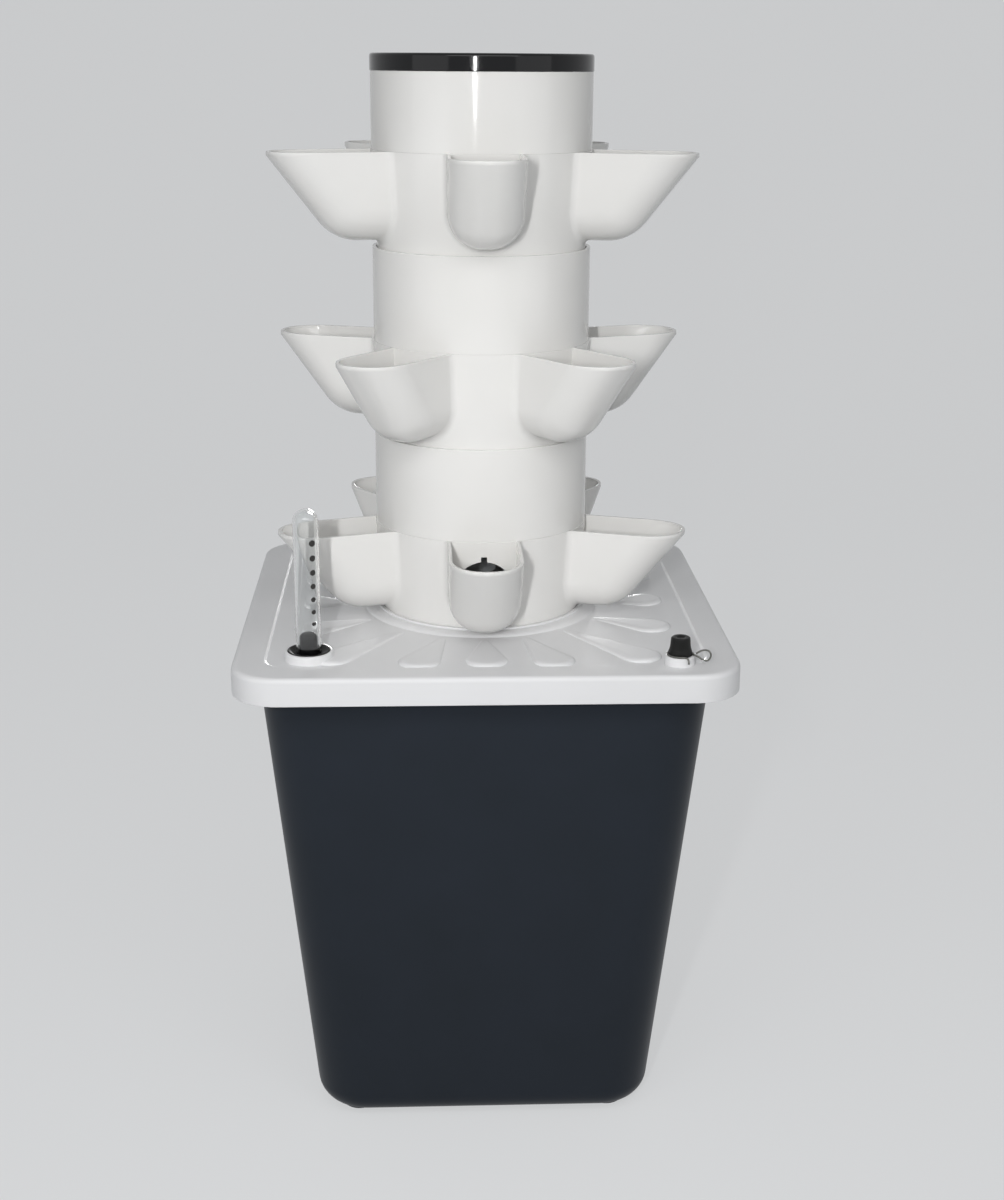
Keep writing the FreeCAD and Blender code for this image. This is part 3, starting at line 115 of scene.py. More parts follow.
def moulded(name, dark, light, roughness, ior, grain_mm, grain_depth, wave_mm, wave_depth, wave_stretch=1.0):
    """A moulded plastic: colour drift between two tones, a fine grain and a slow waviness."""
    material, tree, place = new_material(name)
    drift = add_node(tree, "ShaderNodeTexNoise", {"Vector": place, "Scale": 1 / COLOUR_DRIFT, "Detail": 2.0})
    tone = add_node(tree, "ShaderNodeMix", {0: drift, 6: linear(dark), 7: linear(light)}, data_type="RGBA")
    grain = add_node(tree, "ShaderNodeTexNoise",
                     {"Vector": place, "Scale": 1 / (grain_mm * MM), "Detail": 2.0})
    fine = add_node(tree, "ShaderNodeBump", {"Height": grain, "Strength": 1.0, "Distance": grain_depth * MM})
    long_way = add_node(tree, "ShaderNodeMapping", {"Vector": place, "Scale": (1.0, 1.0, 1.0 / wave_stretch)})
    wave = add_node(tree, "ShaderNodeTexNoise",
                    {"Vector": long_way, "Scale": 1 / (wave_mm * MM), "Detail": 1.0})
    relief = add_node(tree, "ShaderNodeBump",
                      {"Height": wave, "Strength": 1.0, "Distance": wave_depth * MM, "Normal": fine})
    polish = add_node(tree, "ShaderNodeMapRange",
                      {"Value": drift, "To Min": roughness * (1 - POLISH_SPREAD),
                       "To Max": roughness * (1 + POLISH_SPREAD)})
    shader = add_node(tree, "ShaderNodeBsdfPrincipled",
                      {"Base Color": tone.outputs[2], "Roughness": polish, "Normal": relief, "IOR": ior})
    add_node(tree, "ShaderNodeOutputMaterial", {"Surface": shader})
    return material


# %% [markdown]
# ## The planter's plastics
# The tower is glossy white ABS, from a polished mould. The lid is the same white, a little cooler and less
# glossy. The tank is a dark slate polypropylene with a satin skin, and long upright ripples that draw faint
# streaks down its front. The cap is gloss black ABS. Pump, pipe and float are plain technical plastics.
# ABS has an IOR near 1.53 and polypropylene one near 1.49. Those of the tower, the cap and above all the tank
# are set lower, because the pale floor mirrors in them, and the lid's is set higher for its bright skirt.

# %% Make the plastics
# Name, two tones, roughness, IOR, width and depth of the grain, width and depth of the wave, its stretch.
tower_abs = moulded("gloss moulded white ABS", "DFDEDB", "E4E3E1", 0.09, 1.46, 0.9, 0.0015, 40.0, 0.03)
lid_abs = moulded("semi gloss moulded white ABS", "DCDCDD", "E1E1E2", 0.30, 1.58, 0.8, 0.003, 60.0, 0.02)
tank_pp = moulded("satin moulded slate polypropylene", "252A30", "292E36", 0.38, 1.20, 0.7, 0.008,
                  30.0, 0.12, 6.0)
cap_abs = moulded("gloss moulded black ABS", "0B0B0D", "101012", 0.09, 1.40, 0.9, 0.001, 24.0, 0.03)
pipe_pvc = moulded("extruded pale grey PVC", "B4B7B9", "BEC1C3", 0.38, 1.53, 0.8, 0.006, 18.0, 0.02, 8.0)
pump_abs = moulded("fine textured black ABS", "16171A", "1C1D20", 0.45, 1.54, 0.5, 0.020, 20.0, 0.03)
float_pp = moulded("smooth black polypropylene", "0C0C0D", "121213", 0.12, 1.49, 0.7, 0.002, 12.0, 0.02)
print("plastics made:", len(bpy.data.materials))

# %% [markdown]
# ## Rubber, clear tube and wire
# Rubber is matt and slightly dusty, with fine pores that are drawn half a millimetre wide so that they show.
# The gauge's tube is clear acrylic, so its look is all refraction and a few scratches in the gloss. The wire
# is drawn steel: a metal keeps Blender's own IOR, and the fine marks of the drawing, which are too thin to
# show one by one, make the blur of its highlight uneven.

# %% Make rubber, acrylic and steel
def cured_rubber():
    """Matt black rubber with a little dust and a skin of pores."""
    material, tree, place = new_material("cured black rubber")
    dust = add_node(tree, "ShaderNodeTexNoise", {"Vector": place, "Scale": 1 / (6 * MM), "Detail": 4.0})
    tone = add_node(tree, "ShaderNodeMix",
                    {0: dust, 6: linear("0A0A0A"), 7: linear("141413")}, data_type="RGBA")
    pores = add_node(tree, "ShaderNodeTexVoronoi", {"Vector": place, "Scale": 1 / (0.5 * MM)})
    skin = add_node(tree, "ShaderNodeBump", {"Height": pores, "Strength": 1.0, "Distance": 0.02 * MM})
    shader = add_node(tree, "ShaderNodeBsdfPrincipled",
                      {"Base Color": tone.outputs[2], "Roughness": 0.5, "Normal": skin, "IOR": 1.36})
    add_node(tree, "ShaderNodeOutputMaterial", {"Surface": shader})
    return material


def clear_acrylic():
    """Clear acrylic with faint scratches up the tube, twenty times as long as wide."""
    material, tree, place = new_material("extruded clear acrylic")
    long_way = add_node(tree, "ShaderNodeMapping", {"Vector": place, "Scale": (1.0, 1.0, 1 / 20)})
    haze = add_node(tree, "ShaderNodeTexNoise", {"Vector": long_way, "Scale": 1 / (1.5 * MM), "Detail": 2.0})
    gloss = add_node(tree, "ShaderNodeMapRange", {"Value": haze, "To Min": 0.0, "To Max": 0.03})
    shader = add_node(tree, "ShaderNodeBsdfPrincipled",
                      {"Base Color": linear("F7F8F8"), "Roughness": gloss, "IOR": 1.49,
                       "Specular IOR Level": 0.3, "Transmission Weight": 1.0})
    add_node(tree, "ShaderNodeOutputMaterial", {"Surface": shader})
    return material


def drawn_steel(name, colour, roughness):
    """Bright steel whose highlight is blurred unevenly."""
    material, tree, place = new_material(name)
    lines = add_node(tree, "ShaderNodeTexNoise", {"Vector": place, "Scale": 1 / (0.4 * MM), "Detail": 3.0})
    blur = add_node(tree, "ShaderNodeMapRange",
                    {"Value": lines, "To Min": roughness * (1 - STEEL_SPREAD),
                     "To Max": roughness * (1 + STEEL_SPREAD)})
    shader = add_node(tree, "ShaderNodeBsdfPrincipled",
                      {"Base Color": linear(colour), "Metallic": 1.0, "Roughness": blur})
    add_node(tree, "ShaderNodeOutputMaterial", {"Surface": shader})
    return material


rubber = cured_rubber()
acrylic = clear_acrylic()
wire_steel = drawn_steel("drawn bright steel wire", "757571", 0.34)
shaft_steel = drawn_steel("ground stainless steel", "C8C8C6", 0.12)
print("finishes made:", len(bpy.data.materials))

# %% [markdown]
# ## Two finishes on one moulding
# The impeller is white acetal moulded round a dark magnet. Both are one solid, so the finish itself changes
# along X, at the disc behind the blades. The level marks on the gauge are a dark print, which is a thin matt
# film and has hardly any relief.

# %% Make the impeller's finish and the printed ink
def impeller_finish(split):
    """Acetal in front of the split along X, and a dark sintered magnet behind it."""
    material, tree, place = new_material("moulded acetal on a sintered magnet")
    along = add_node(tree, "ShaderNodeSeparateXYZ", {0: place})
    front = add_node(tree, "ShaderNodeMath", {0: along, 1: split}, operation="GREATER_THAN")
    grit = add_node(tree, "ShaderNodeTexNoise", {"Vector": place, "Scale": 1 / (0.4 * MM), "Detail": 2.0})
    sinter = add_node(tree, "ShaderNodeMix",
                      {0: grit, 6: linear("2A2A2C"), 7: linear("38383A")}, data_type="RGBA")
    tone = add_node(tree, "ShaderNodeMix",
                    {0: front, 6: sinter.outputs[2], 7: linear("DDDDD8")}, data_type="RGBA")
    shader = add_node(tree, "ShaderNodeBsdfPrincipled",
                      {"Base Color": tone.outputs[2], "Roughness": 0.4, "IOR": 1.48})
    add_node(tree, "ShaderNodeOutputMaterial", {"Surface": shader})
    return material


MAGNET_FRONT = -6 * MM
impeller_acetal = impeller_finish(MAGNET_FRONT)
mark_ink = moulded("screen printed dark ink", "23211F", "2C2A28", 0.5, 1.5, 0.4, 0.005, 6.0, 0.005)
print("all finishes:", sorted(material.name for material in bpy.data.materials))

# %% [markdown]
# ## Shapes from loops
# Nearly every piece of this planter is a run of closed loops, stacked and skinned: circles for the tower,
# rounded squares for the tank and the lid. Every loop has the same number of points, so any loop can join any
# other, also a square a circle. No moulding has knife edges, so each corner of the run is eased: it becomes a
# few loops on a small curve, which takes up less than half of the shorter side beside it.

# %% Loops, easing and skinning
AROUND = 144
EASE_STEPS, EASE_LIMIT = 4, 0.45
WELD, SLIVER = 0.001 * MM, 0.0005 * MM


def circle_loop(radius, height, centre=(0.0, 0.0)):
    """Points round a circle, from its +X side, in millimetres."""
    turn = np.arange(AROUND) * 2 * math.pi / AROUND
    return np.column_stack([centre[0] + radius * np.cos(turn), centre[1] + radius * np.sin(turn),
                            np.full(AROUND, height)])


def square_loop(half, corner, height):
    """Points round a square with rounded corners, from the middle of its +X side, in millimetres."""
    share = AROUND // 12
    reach = half - corner
    side = np.linspace(0, reach, share + 1)[:-1]
    arc = np.linspace(0, math.pi / 2, share + 1)[:-1]
    quarter = np.vstack([
        np.column_stack([np.full(share, half), side]),
        np.column_stack([reach + corner * np.cos(arc), reach + corner * np.sin(arc)]),
        np.column_stack([np.linspace(reach, 0, share + 1)[:-1], np.full(share, half)])])
    sides = [quarter, quarter[:, ::-1] * (-1, 1), -quarter, quarter[:, ::-1] * (1, -1)]
    return np.column_stack([np.vstack(sides), np.full(AROUND, height)])


def eased(loops, sizes, closed):
    """The same run of loops with each corner turned into a small curve of the given size."""
    result = []
    count = len(loops)
    for k, (loop, size) in enumerate(zip(loops, sizes)):
        if size == 0 or (not closed and k in (0, count - 1)):
            result.append(loop)
            continue
        before, after = loops[k - 1], loops[(k + 1) % count]
        back = np.linalg.norm(before - loop, axis=1).mean()
        ahead = np.linalg.norm(after - loop, axis=1).mean()
        cut = min(size, EASE_LIMIT * back, EASE_LIMIT * ahead)
        start = loop + (before - loop) * cut / back
        end = loop + (after - loop) * cut / ahead
        for t in np.linspace(0, 1, EASE_STEPS):
            result.append((1 - t) ** 2 * start + 2 * t * (1 - t) * loop + t ** 2 * end)
    return result


def skinned(name, loops, closed):
    """A closed object from a run of loops; an open run gets a face over each end."""
    shape = bmesh.new()
    rows = [[shape.verts.new(point * MM) for point in loop] for loop in loops]
    pairs = list(zip(rows, rows[1:] + rows[:1])) if closed else list(zip(rows, rows[1:]))
    for low, high in pairs:
        for k in range(AROUND):
            n = (k + 1) % AROUND
            shape.faces.new((low[k], low[n], high[n], high[k]))
    if not closed:
        shape.faces.new(rows[0])
        shape.faces.new(rows[-1])
    return as_object(name, shape)


def as_mesh(name, shape):
    """A mesh from the shape, which is freed."""
    mesh = bpy.data.meshes.new(name)
    shape.to_mesh(mesh)
    shape.free()
    return mesh


def as_object(name, shape):
    """Close doubles and poles, turn every face outwards and make an object at the origin."""
    bmesh.ops.remove_doubles(shape, verts=shape.verts, dist=WELD)
    bmesh.ops.dissolve_degenerate(shape, edges=shape.edges, dist=SLIVER)
    bmesh.ops.recalc_face_normals(shape, faces=shape.faces)
    return linked(name, as_mesh(name, shape))


def turned(name, section, height=0.0, centre=(0.0, 0.0), ease=0.5, closed=True):
    """A turned piece: each entry of the section is radius, height and, if not the usual, its easing."""
    loops = [circle_loop(point[0], height + point[1], centre) for point in section]
    sizes = [0 if point[0] == 0 else (point[2] if len(point) > 2 else ease) for point in section]
    return skinned(name, eased(loops, sizes, closed), closed)


print("points in each loop:", AROUND)

# %% [markdown]
# ## Putting a piece in place
# A finished piece needs the same few lines each time: smooth shading with sharp creases kept, normals that
# favour the large faces so that flat areas stay flat, the body it moves with, and the solid it stands for.
# Cutting and joining closed shapes is done with a Boolean, whose result is kept as a plain mesh.

# %% Finishing and Boolean helpers
CREASE = math.radians(38)


def put_in_place(piece, material, body, slot, *nodes):
    """Shade, dress and hang a piece on its body, and let it stand for the named solids."""
    piece.data.materials.clear()
    piece.data.materials.append(material)
    piece.data.shade_smooth()
    piece.data.set_sharp_from_angle(angle=CREASE)
    piece.modifiers.new("even shading", "WEIGHTED_NORMAL").keep_sharp = True
    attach(piece, body)
    if nodes:
        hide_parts(*nodes)
    print("%-18s %6d faces on %s" % (piece.name, len(piece.data.polygons), body))


def final_mesh(item):
    """A new mesh of what the item's modifiers or bevel make of it."""
    bpy.context.view_layer.update()
    return bpy.data.meshes.new_from_object(item.evaluated_get(bpy.context.evaluated_depsgraph_get()))


def worked_in(piece):
    """The piece with its modifiers worked into its mesh."""
    mesh = final_mesh(piece)
    piece.modifiers.clear()
    piece.data = mesh
    return piece


def combined(piece, tool, operation):
    """Cut the tool out of the piece, or join it on."""
    change = piece.modifiers.new("shape", "BOOLEAN")
    change.operation = operation
    change.solver = "EXACT"
    change.object = tool
    worked_in(piece)
    bpy.data.objects.remove(tool)


def block(name, low, high):
    """A plain box between two corners in millimetres, only used to cut with."""
    shape = bmesh.new()
    bmesh.ops.create_cube(shape, size=1.0)
    low, high = Vector(low) * MM, Vector(high) * MM
    for vertex in shape.verts:
        vertex.co = Vector([low[k] + (vertex.co[k] + 0.5) * (high[k] - low[k]) for k in range(3)])
    return as_object(name, shape)


print("crease angle in degrees:", round(math.degrees(CREASE)))

# %% [markdown]
# ## The water tank
# The tank is one deep moulding whose walls lean outwards, so that it slides off its mould. Its corners, the
# turn into its base and the lip round its mouth are all rounded. The run of loops starts on the underside,
# climbs the outside, goes over the rim and down the inside and ends on the floor. A face closes each end.

# %% Tank profile
TANK_BASE_HALF, TANK_MOUTH_HALF = 106.6, 136.4
TANK_UNDERSIDE, TANK_INSIDE, HALF_WAY, TANK_RIM = 2.5, 6.0, 160.0, 317.4
TANK_WALL = 3.0
OUTER_TURN, INNER_TURN = 18.0, 15.0
OUTER_CORNERS, INNER_CORNERS = (31.0, 32.0, 33.0), (28.0, 29.0, 30.0)  # at the base, half way up, at the rim
LIP_UNDER, LIP_END = 314.4, 306.4
LIP_INSIDE, LIP_OUTSIDE = (143.4, 40.0), (146.0, 42.6)  # half the width, corner
RIM_EASES = [0.8, 0.8, 0.7, 0.7, 1.2, 0.8]
TANK_LEAN = (TANK_MOUTH_HALF - TANK_BASE_HALF) / (TANK_RIM - TANK_UNDERSIDE)
INNER_LEAN = (TANK_MOUTH_HALF - TANK_BASE_HALF) / (TANK_RIM - TANK_INSIDE)


def outer_half(height):
    """Half the tank's width over its walls at a height."""
    return TANK_BASE_HALF + TANK_LEAN * (height - TANK_UNDERSIDE)


def inner_half(height):
    """Half the tank's width between its walls at a height."""
    return TANK_BASE_HALF - TANK_WALL + INNER_LEAN * (height - TANK_INSIDE)


def base_turn(half_at, lean, floor, radius, corner, steps=10):
    """Loops round the turn from the tank's floor into its wall, from the floor up."""
    centre_height = floor + radius
    centre_half = half_at(centre_height) - radius * math.hypot(1, lean)
    loops = []
    for angle in np.linspace(-math.pi / 2, -math.atan(lean), steps):
        half = centre_half + radius * math.cos(angle)
        height = centre_height + radius * math.sin(angle)
        loops.append(square_loop(half, corner - (half_at(height) - half), height))
    return loops


outside = base_turn(outer_half, TANK_LEAN, TANK_UNDERSIDE, OUTER_TURN, OUTER_CORNERS[0])
outside.append(square_loop(outer_half(HALF_WAY), OUTER_CORNERS[1], HALF_WAY))
rim = [square_loop(outer_half(LIP_UNDER), OUTER_CORNERS[2], LIP_UNDER),
       square_loop(*LIP_INSIDE, LIP_UNDER), square_loop(*LIP_INSIDE, LIP_END),
       square_loop(*LIP_OUTSIDE, LIP_END), square_loop(*LIP_OUTSIDE, TANK_RIM),
       square_loop(inner_half(TANK_RIM), INNER_CORNERS[2], TANK_RIM)]
inside = base_turn(inner_half, INNER_LEAN, TANK_INSIDE, INNER_TURN, INNER_CORNERS[0])
inside.append(square_loop(inner_half(HALF_WAY), INNER_CORNERS[1], HALF_WAY))
tank_loops = outside + rim + inside[::-1]
tank_eases = [0] * len(outside) + RIM_EASES + [0] * len(inside)
tank = skinned("water_tank", eased(tank_loops, tank_eases, False), False)

# %% [markdown]
# Four low round feet are moulded under the base, and a notch in the back of the rim lets the pump's cable
# out. The feet are joined on and the notch is cut, as closed shapes.

# %% Tank feet and cable notch
FOOT_PLACE, FOOT_RADIUS, FOOT_TOP = 81.0, 11.5, 4.0
NOTCH_HALF = 6.0
for side_x in (-1, 1):
    for side_y in (-1, 1):
        foot = turned("foot", [(0, 0), (FOOT_RADIUS, 0, 0.8), (FOOT_RADIUS, FOOT_TOP), (0, FOOT_TOP)],
                      centre=(side_x * FOOT_PLACE, side_y * FOOT_PLACE))
        combined(tank, foot, "UNION")
combined(tank, block("notch", (-NOTCH_HALF, 125, LIP_END), (NOTCH_HALF, 150, 320)), "DIFFERENCE")
put_in_place(tank, tank_pp, "tank", "tank_plastic", "tank", "tank_rim")

# %% [markdown]
# ## The lid
# The lid is a flat moulding with a skirt. Its middle is sunk a little, and a raised collar round a hole takes
# the tower's foot. Its run of loops is a closed ring: the inner loops are circles and the outer ones rounded
# squares, and the skin between the two shapes is flat, so nobody sees it change from one to the other.

# %% Lid profile
LID_HALF, LID_CORNER, LID_TOP, LID_LOW = 150.0, 29.0, 320.0, 303.0
LID_PLATE, LID_EDGE = 2.6, 3.4
PANEL_HALF, PANEL_CORNER, PANEL_TOP, PANEL_STEP = 131.0, 18.0, 319.1, 0.9
TUBE_RADIUS, SOCKET_RADIUS, SEAT_BORE = 67.0, 64.6, 58.6
SEAT_UNDER, SEAT_TOP, COLLAR_TOP = 309.6, 312.0, 322.4
COLLAR_SLOPE = [(75.4, PANEL_TOP, 0.4), (73.9, 320.3, 0.8), (71.4, 321.0, 1.0), (67.3, 321.3, 0.15)]
LID_SECTION = [
    (circle_loop(SEAT_BORE, SEAT_UNDER), 0.5), (circle_loop(TUBE_RADIUS, SEAT_UNDER), 0.5),
    (circle_loop(TUBE_RADIUS, LID_TOP - LID_PLATE), 0.6),
    (square_loop(LID_HALF - LID_PLATE, LID_CORNER - LID_PLATE, LID_TOP - LID_PLATE), 0.8),
    (square_loop(LID_HALF - LID_PLATE, LID_CORNER - LID_PLATE, LID_LOW), 0.5),
    (square_loop(LID_HALF, LID_CORNER, LID_LOW), 0.5),
    (square_loop(LID_HALF, LID_CORNER, LID_TOP), LID_EDGE),
    (square_loop(PANEL_HALF, PANEL_CORNER, LID_TOP), PANEL_STEP),
    (square_loop(PANEL_HALF - PANEL_STEP, PANEL_CORNER - PANEL_STEP, PANEL_TOP), PANEL_STEP),
    *[(circle_loop(radius, height), ease) for radius, height, ease in COLLAR_SLOPE],
    (circle_loop(TUBE_RADIUS, COLLAR_TOP), 0.15), (circle_loop(SOCKET_RADIUS, COLLAR_TOP), 0.5),
    (circle_loop(SOCKET_RADIUS, SEAT_TOP), 0.4), (circle_loop(SEAT_BORE, SEAT_TOP), 0.5)]
lid_loops, lid_eases = zip(*LID_SECTION)
lid = skinned("lid_cover", eased(lid_loops, lid_eases, True), True)

# %% [markdown]
# The petals are raised pads with a narrow root at the tower and a round end. A petal's outline is two arcs
# joined by straight sides. Stacking the same outline, drawn in a little further at each level, gives it the
# soft shoulder that catches the light. The shoulder is steep at the round end and gentle along the sides, and
# each petal is lowest at its root, so that it grows out of the lid.

# %% Petals on the lid
# How far the outline is drawn in at each height above the panel.
PETAL_LEVELS = [(0.0, -0.9), (0.0, 0.0), (0.15, 0.6), (0.55, 1.25), (1.25, 1.8), (2.3, 2.2), (3.6, 2.4)]
PETAL_ROOT_SHARE, PETAL_ROOT_INSET, PETAL_SIDE_SLOPE = 0.12, 0.5, 0.7
PETAL_START, PETAL_NARROW, PETAL_WIDE = 82.0, 2.6, 12.6
# Degrees from the lid's front: distance of the petal's end from the tower's axis.
PETAL_REACH = {0.0: 131.0, 18.5: 138.1, 39.5: 157.2, 62.5: 131.0, 90.0: 119.0}


def petal(direction, reach):
    """One petal that points that many degrees round from the front, as a closed shape."""
    wide = reach - PETAL_WIDE
    lean = math.asin((PETAL_WIDE - PETAL_NARROW) / (wide - PETAL_START))
    count = AROUND // 2
    root = np.linspace(math.pi / 2 + lean, 1.5 * math.pi - lean, count)
    end = np.linspace(-math.pi / 2 - lean, math.pi / 2 + lean, count)
    turn = math.radians(direction - 90)
    loops = []
    for inset, rise in PETAL_LEVELS:
        narrow = PETAL_NARROW - PETAL_ROOT_INSET * inset
        broad = PETAL_WIDE - inset * (1 + PETAL_SIDE_SLOPE * (1 - np.cos(end)))
        along = np.concatenate([PETAL_START + narrow * np.cos(root), wide + broad * np.cos(end)])
        aside = np.concatenate([narrow * np.sin(root), broad * np.sin(end)])
        share = (along - PETAL_START) / (reach - PETAL_START)
        fade = PETAL_ROOT_SHARE + (1 - PETAL_ROOT_SHARE) * share if rise > 0 else np.ones(AROUND)
        loops.append(np.column_stack([along * math.cos(turn) - aside * math.sin(turn),
                                      along * math.sin(turn) + aside * math.cos(turn),
                                      PANEL_TOP + rise * fade]))
    return skinned("petal", loops, False)


petals = 0
for direction, reach in PETAL_REACH.items():
    for angle in sorted({direction, -direction, 180 - direction, direction - 180} - {-180}):
        combined(lid, petal(angle, reach), "UNION")
        petals += 1
print("petals on the lid:", petals)

# %% [markdown]
# Two round bosses stand on the front corners: a wide one, in whose sunk top the gauge's grommet lies, and a
# narrow one for the filler bung. Their holes go right through, and a notch in the back of the skirt lets the
# cable out.

# %% Bosses, holes and notch of the lid
GAUGE, BUNG = (-105.0, -110.5), (113.2, -127.4)
BOSS_FOOT, GRIP_SEAT, GAUGE_BOSS_TOP, BUNG_BOSS_TOP = 318.5, 322.2, 324.3, 325.2
GAUGE_HOLE, GRIP_RADIUS, BUNG_HOLE = 10.5, 12.8, 5.9
CUT_LOW, CUT_HIGH = 310.0, 330.0


def boss(name, foot_radius, top_radius, top, ease, centre):
    """A round boss that narrows a little upwards, as a closed shape."""
    section = [(0, BOSS_FOOT), (foot_radius, BOSS_FOOT), (top_radius, top, ease), (0, top)]
    return turned(name, section, centre=centre)


combined(lid, boss("gauge_boss", 14.7, 14.4, GAUGE_BOSS_TOP, 1.2, GAUGE), "UNION")
combined(lid, boss("bung_boss", 9.1, 8.6, BUNG_BOSS_TOP, 0.9, BUNG), "UNION")
gauge_cut = [(0, CUT_LOW), (GAUGE_HOLE, CUT_LOW), (GAUGE_HOLE, GRIP_SEAT), (GRIP_RADIUS, GRIP_SEAT),
             (GRIP_RADIUS, CUT_HIGH), (0, CUT_HIGH)]
combined(lid, turned("gauge_hole", gauge_cut, centre=GAUGE, ease=0), "DIFFERENCE")
bung_cut = [(0, CUT_LOW), (BUNG_HOLE, CUT_LOW), (BUNG_HOLE, CUT_HIGH), (0, CUT_HIGH)]
combined(lid, turned("bung_hole", bung_cut, centre=BUNG), "DIFFERENCE")
combined(lid, block("lid_notch", (-NOTCH_HALF, 140, 300), (NOTCH_HALF, 160, 315)), "DIFFERENCE")
put_in_place(lid, lid_abs, "lid", "lid_plastic", "lid")

# %% [markdown]
# ## Planting rings
# A planting ring is one moulding: a short wall with five slanted cups, and between each cup and the tower a
# round port. Five cups at even angles, each with two equal halves, make ten equal slices. So the sharp edges
# of the solid are softened, one slice is cut from it, and Geometry Nodes mirrors it, turns it round the axis
# five times and closes the seams. The same tree makes all three rings: only its turn and its height change.

# %% One tenth of a ring, with softened edges
CUPS = 5
EDGE_SOFTENING, SHARP_EDGE = 0.3, math.radians(40)
SOLID_WELD, SOLID_SLIVER, SEAM = 0.002 * MM, 0.02 * MM, 0.004 * MM


def ring_slice():
    """Half of one cup and the wall beside it, with the cup along +X and the spigot's foot at z = 0."""
    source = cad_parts["planting_ring_lower"]
    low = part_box("planting_ring_lower")[0].z
    shape = bmesh.new()
    shape.from_mesh(source.data)
    move = Matrix.Rotation(math.radians(90), 4, "Z") @ Matrix.Translation((0, 0, -low))
    bmesh.ops.transform(shape, matrix=move, verts=shape.verts)
    bmesh.ops.remove_doubles(shape, verts=shape.verts, dist=SOLID_WELD)
    bmesh.ops.dissolve_degenerate(shape, edges=shape.edges, dist=SOLID_SLIVER)
    bmesh.ops.recalc_face_normals(shape, faces=shape.faces)
    sharp = [edge for edge in shape.edges
             if len(edge.link_faces) == 2 and edge.calc_face_angle() > SHARP_EDGE]
    bmesh.ops.bevel(shape, geom=sharp, offset=EDGE_SOFTENING * MM, segments=2, profile=0.5,
                    affect="EDGES", clamp_overlap=False)
    half_turn = math.pi / CUPS
    for normal in ((0, -1, 0), (-math.sin(half_turn), math.cos(half_turn), 0)):
        everything = shape.verts[:] + shape.edges[:] + shape.faces[:]
        bmesh.ops.bisect_plane(shape, geom=everything, plane_co=(0, 0, 0), plane_no=normal,
                               dist=WELD, clear_outer=True)
    return as_mesh("ring_slice", shape)


slice_mesh = ring_slice()
print("faces in one tenth of a ring:", len(slice_mesh.polygons))

# %% Geometry Nodes tree that turns a slice into a ring
def empty_tree(name, inputs, output):
    """A Geometry Nodes tree with typed inputs, one geometry output and no nodes yet."""
    tree = bpy.data.node_groups.new(name, "GeometryNodeTree")
    for label, kind in inputs.items():
        tree.interface.new_socket(label, in_out="INPUT", socket_type="NodeSocket" + kind)
    tree.interface.new_socket(output, in_out="OUTPUT", socket_type="NodeSocketGeometry")
    return tree


def ring_tree():
    """Mirror the slice to a whole cup, set it at even angles, close the seams, lift and dress the ring."""
    tree = empty_tree("ring of cups", {"Slice": "Geometry", "Cups": "Int", "First cup": "Float",
                                       "Height": "Float", "Finish": "Material"}, "Ring")
    given = add_node(tree, "NodeGroupInput").outputs
    mirrored = add_node(tree, "GeometryNodeTransform",
                        {"Geometry": given["Slice"], "Scale": (1.0, -1.0, 1.0)})
    facing = add_node(tree, "GeometryNodeFlipFaces", {"Mesh": mirrored})
    cup = add_node(tree, "GeometryNodeJoinGeometry", {"Geometry": given["Slice"]})
    tree.links.new(facing.outputs[0], cup.inputs["Geometry"])
    spots = add_node(tree, "GeometryNodePoints", {"Count": given["Cups"]})
    index = add_node(tree, "GeometryNodeInputIndex")
    step = add_node(tree, "ShaderNodeMath", {0: 2 * math.pi, 1: given["Cups"]}, operation="DIVIDE")
    turn = add_node(tree, "ShaderNodeMath",
                    {0: index, 1: step, 2: given["First cup"]}, operation="MULTIPLY_ADD")
    way = add_node(tree, "ShaderNodeCombineXYZ", {"Z": turn})
    placed = add_node(tree, "GeometryNodeInstanceOnPoints",
                      {"Points": spots, "Instance": cup, "Rotation": way})
    real = add_node(tree, "GeometryNodeRealizeInstances", {"Geometry": placed})
    closed = add_node(tree, "GeometryNodeMergeByDistance", {"Geometry": real, "Distance": SEAM})
    rise = add_node(tree, "ShaderNodeCombineXYZ", {"Z": given["Height"]})
    stood = add_node(tree, "GeometryNodeTransform", {"Geometry": closed, "Translation": rise})
    dressed = add_node(tree, "GeometryNodeSetMaterial", {"Geometry": stood, "Material": given["Finish"]})
    add_node(tree, "NodeGroupOutput", {"Ring": dressed})
    return tree


def run_tree(name, mesh, tree, values):
    """An object with the tree's result as its plain mesh; values are given by the inputs' names."""
    item = linked(name, mesh)
    worker = item.modifiers.new("rule", "NODES")
    worker.node_group = tree
    for socket in tree.interface.items_tree:
        if socket.in_out == "INPUT" and socket.name in values:
            worker[socket.identifier] = values[socket.name]
    return worked_in(item)


# %% Make the three rings
cup_ring = ring_tree()
# Direction of each ring's first cup, in degrees from +X.
FIRST_CUP = {"lower": -90.0, "middle": -54.0, "upper": -90.0}
for level, first in FIRST_CUP.items():
    node = "planting_ring_" + level
    ring = run_tree("ring_" + level, slice_mesh.copy(), cup_ring, {
        "Cups": CUPS, "First cup": math.radians(first), "Height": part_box(node)[0].z, "Finish": tower_abs})
    put_in_place(ring, tower_abs, level + "_ring", "tower_plastic", node)

# %% [markdown]
# ## Spacer tubes
# Between the rings stand plain tubes. Each has a narrower spigot below, which drops into the piece under it,
# and a ledge inside its top that carries the piece above. Three arms hold a small ring in the middle of the
# tube, which keeps the riser pipe upright. The tube is turned from its section, and the arms are boxes with
# softened edges.

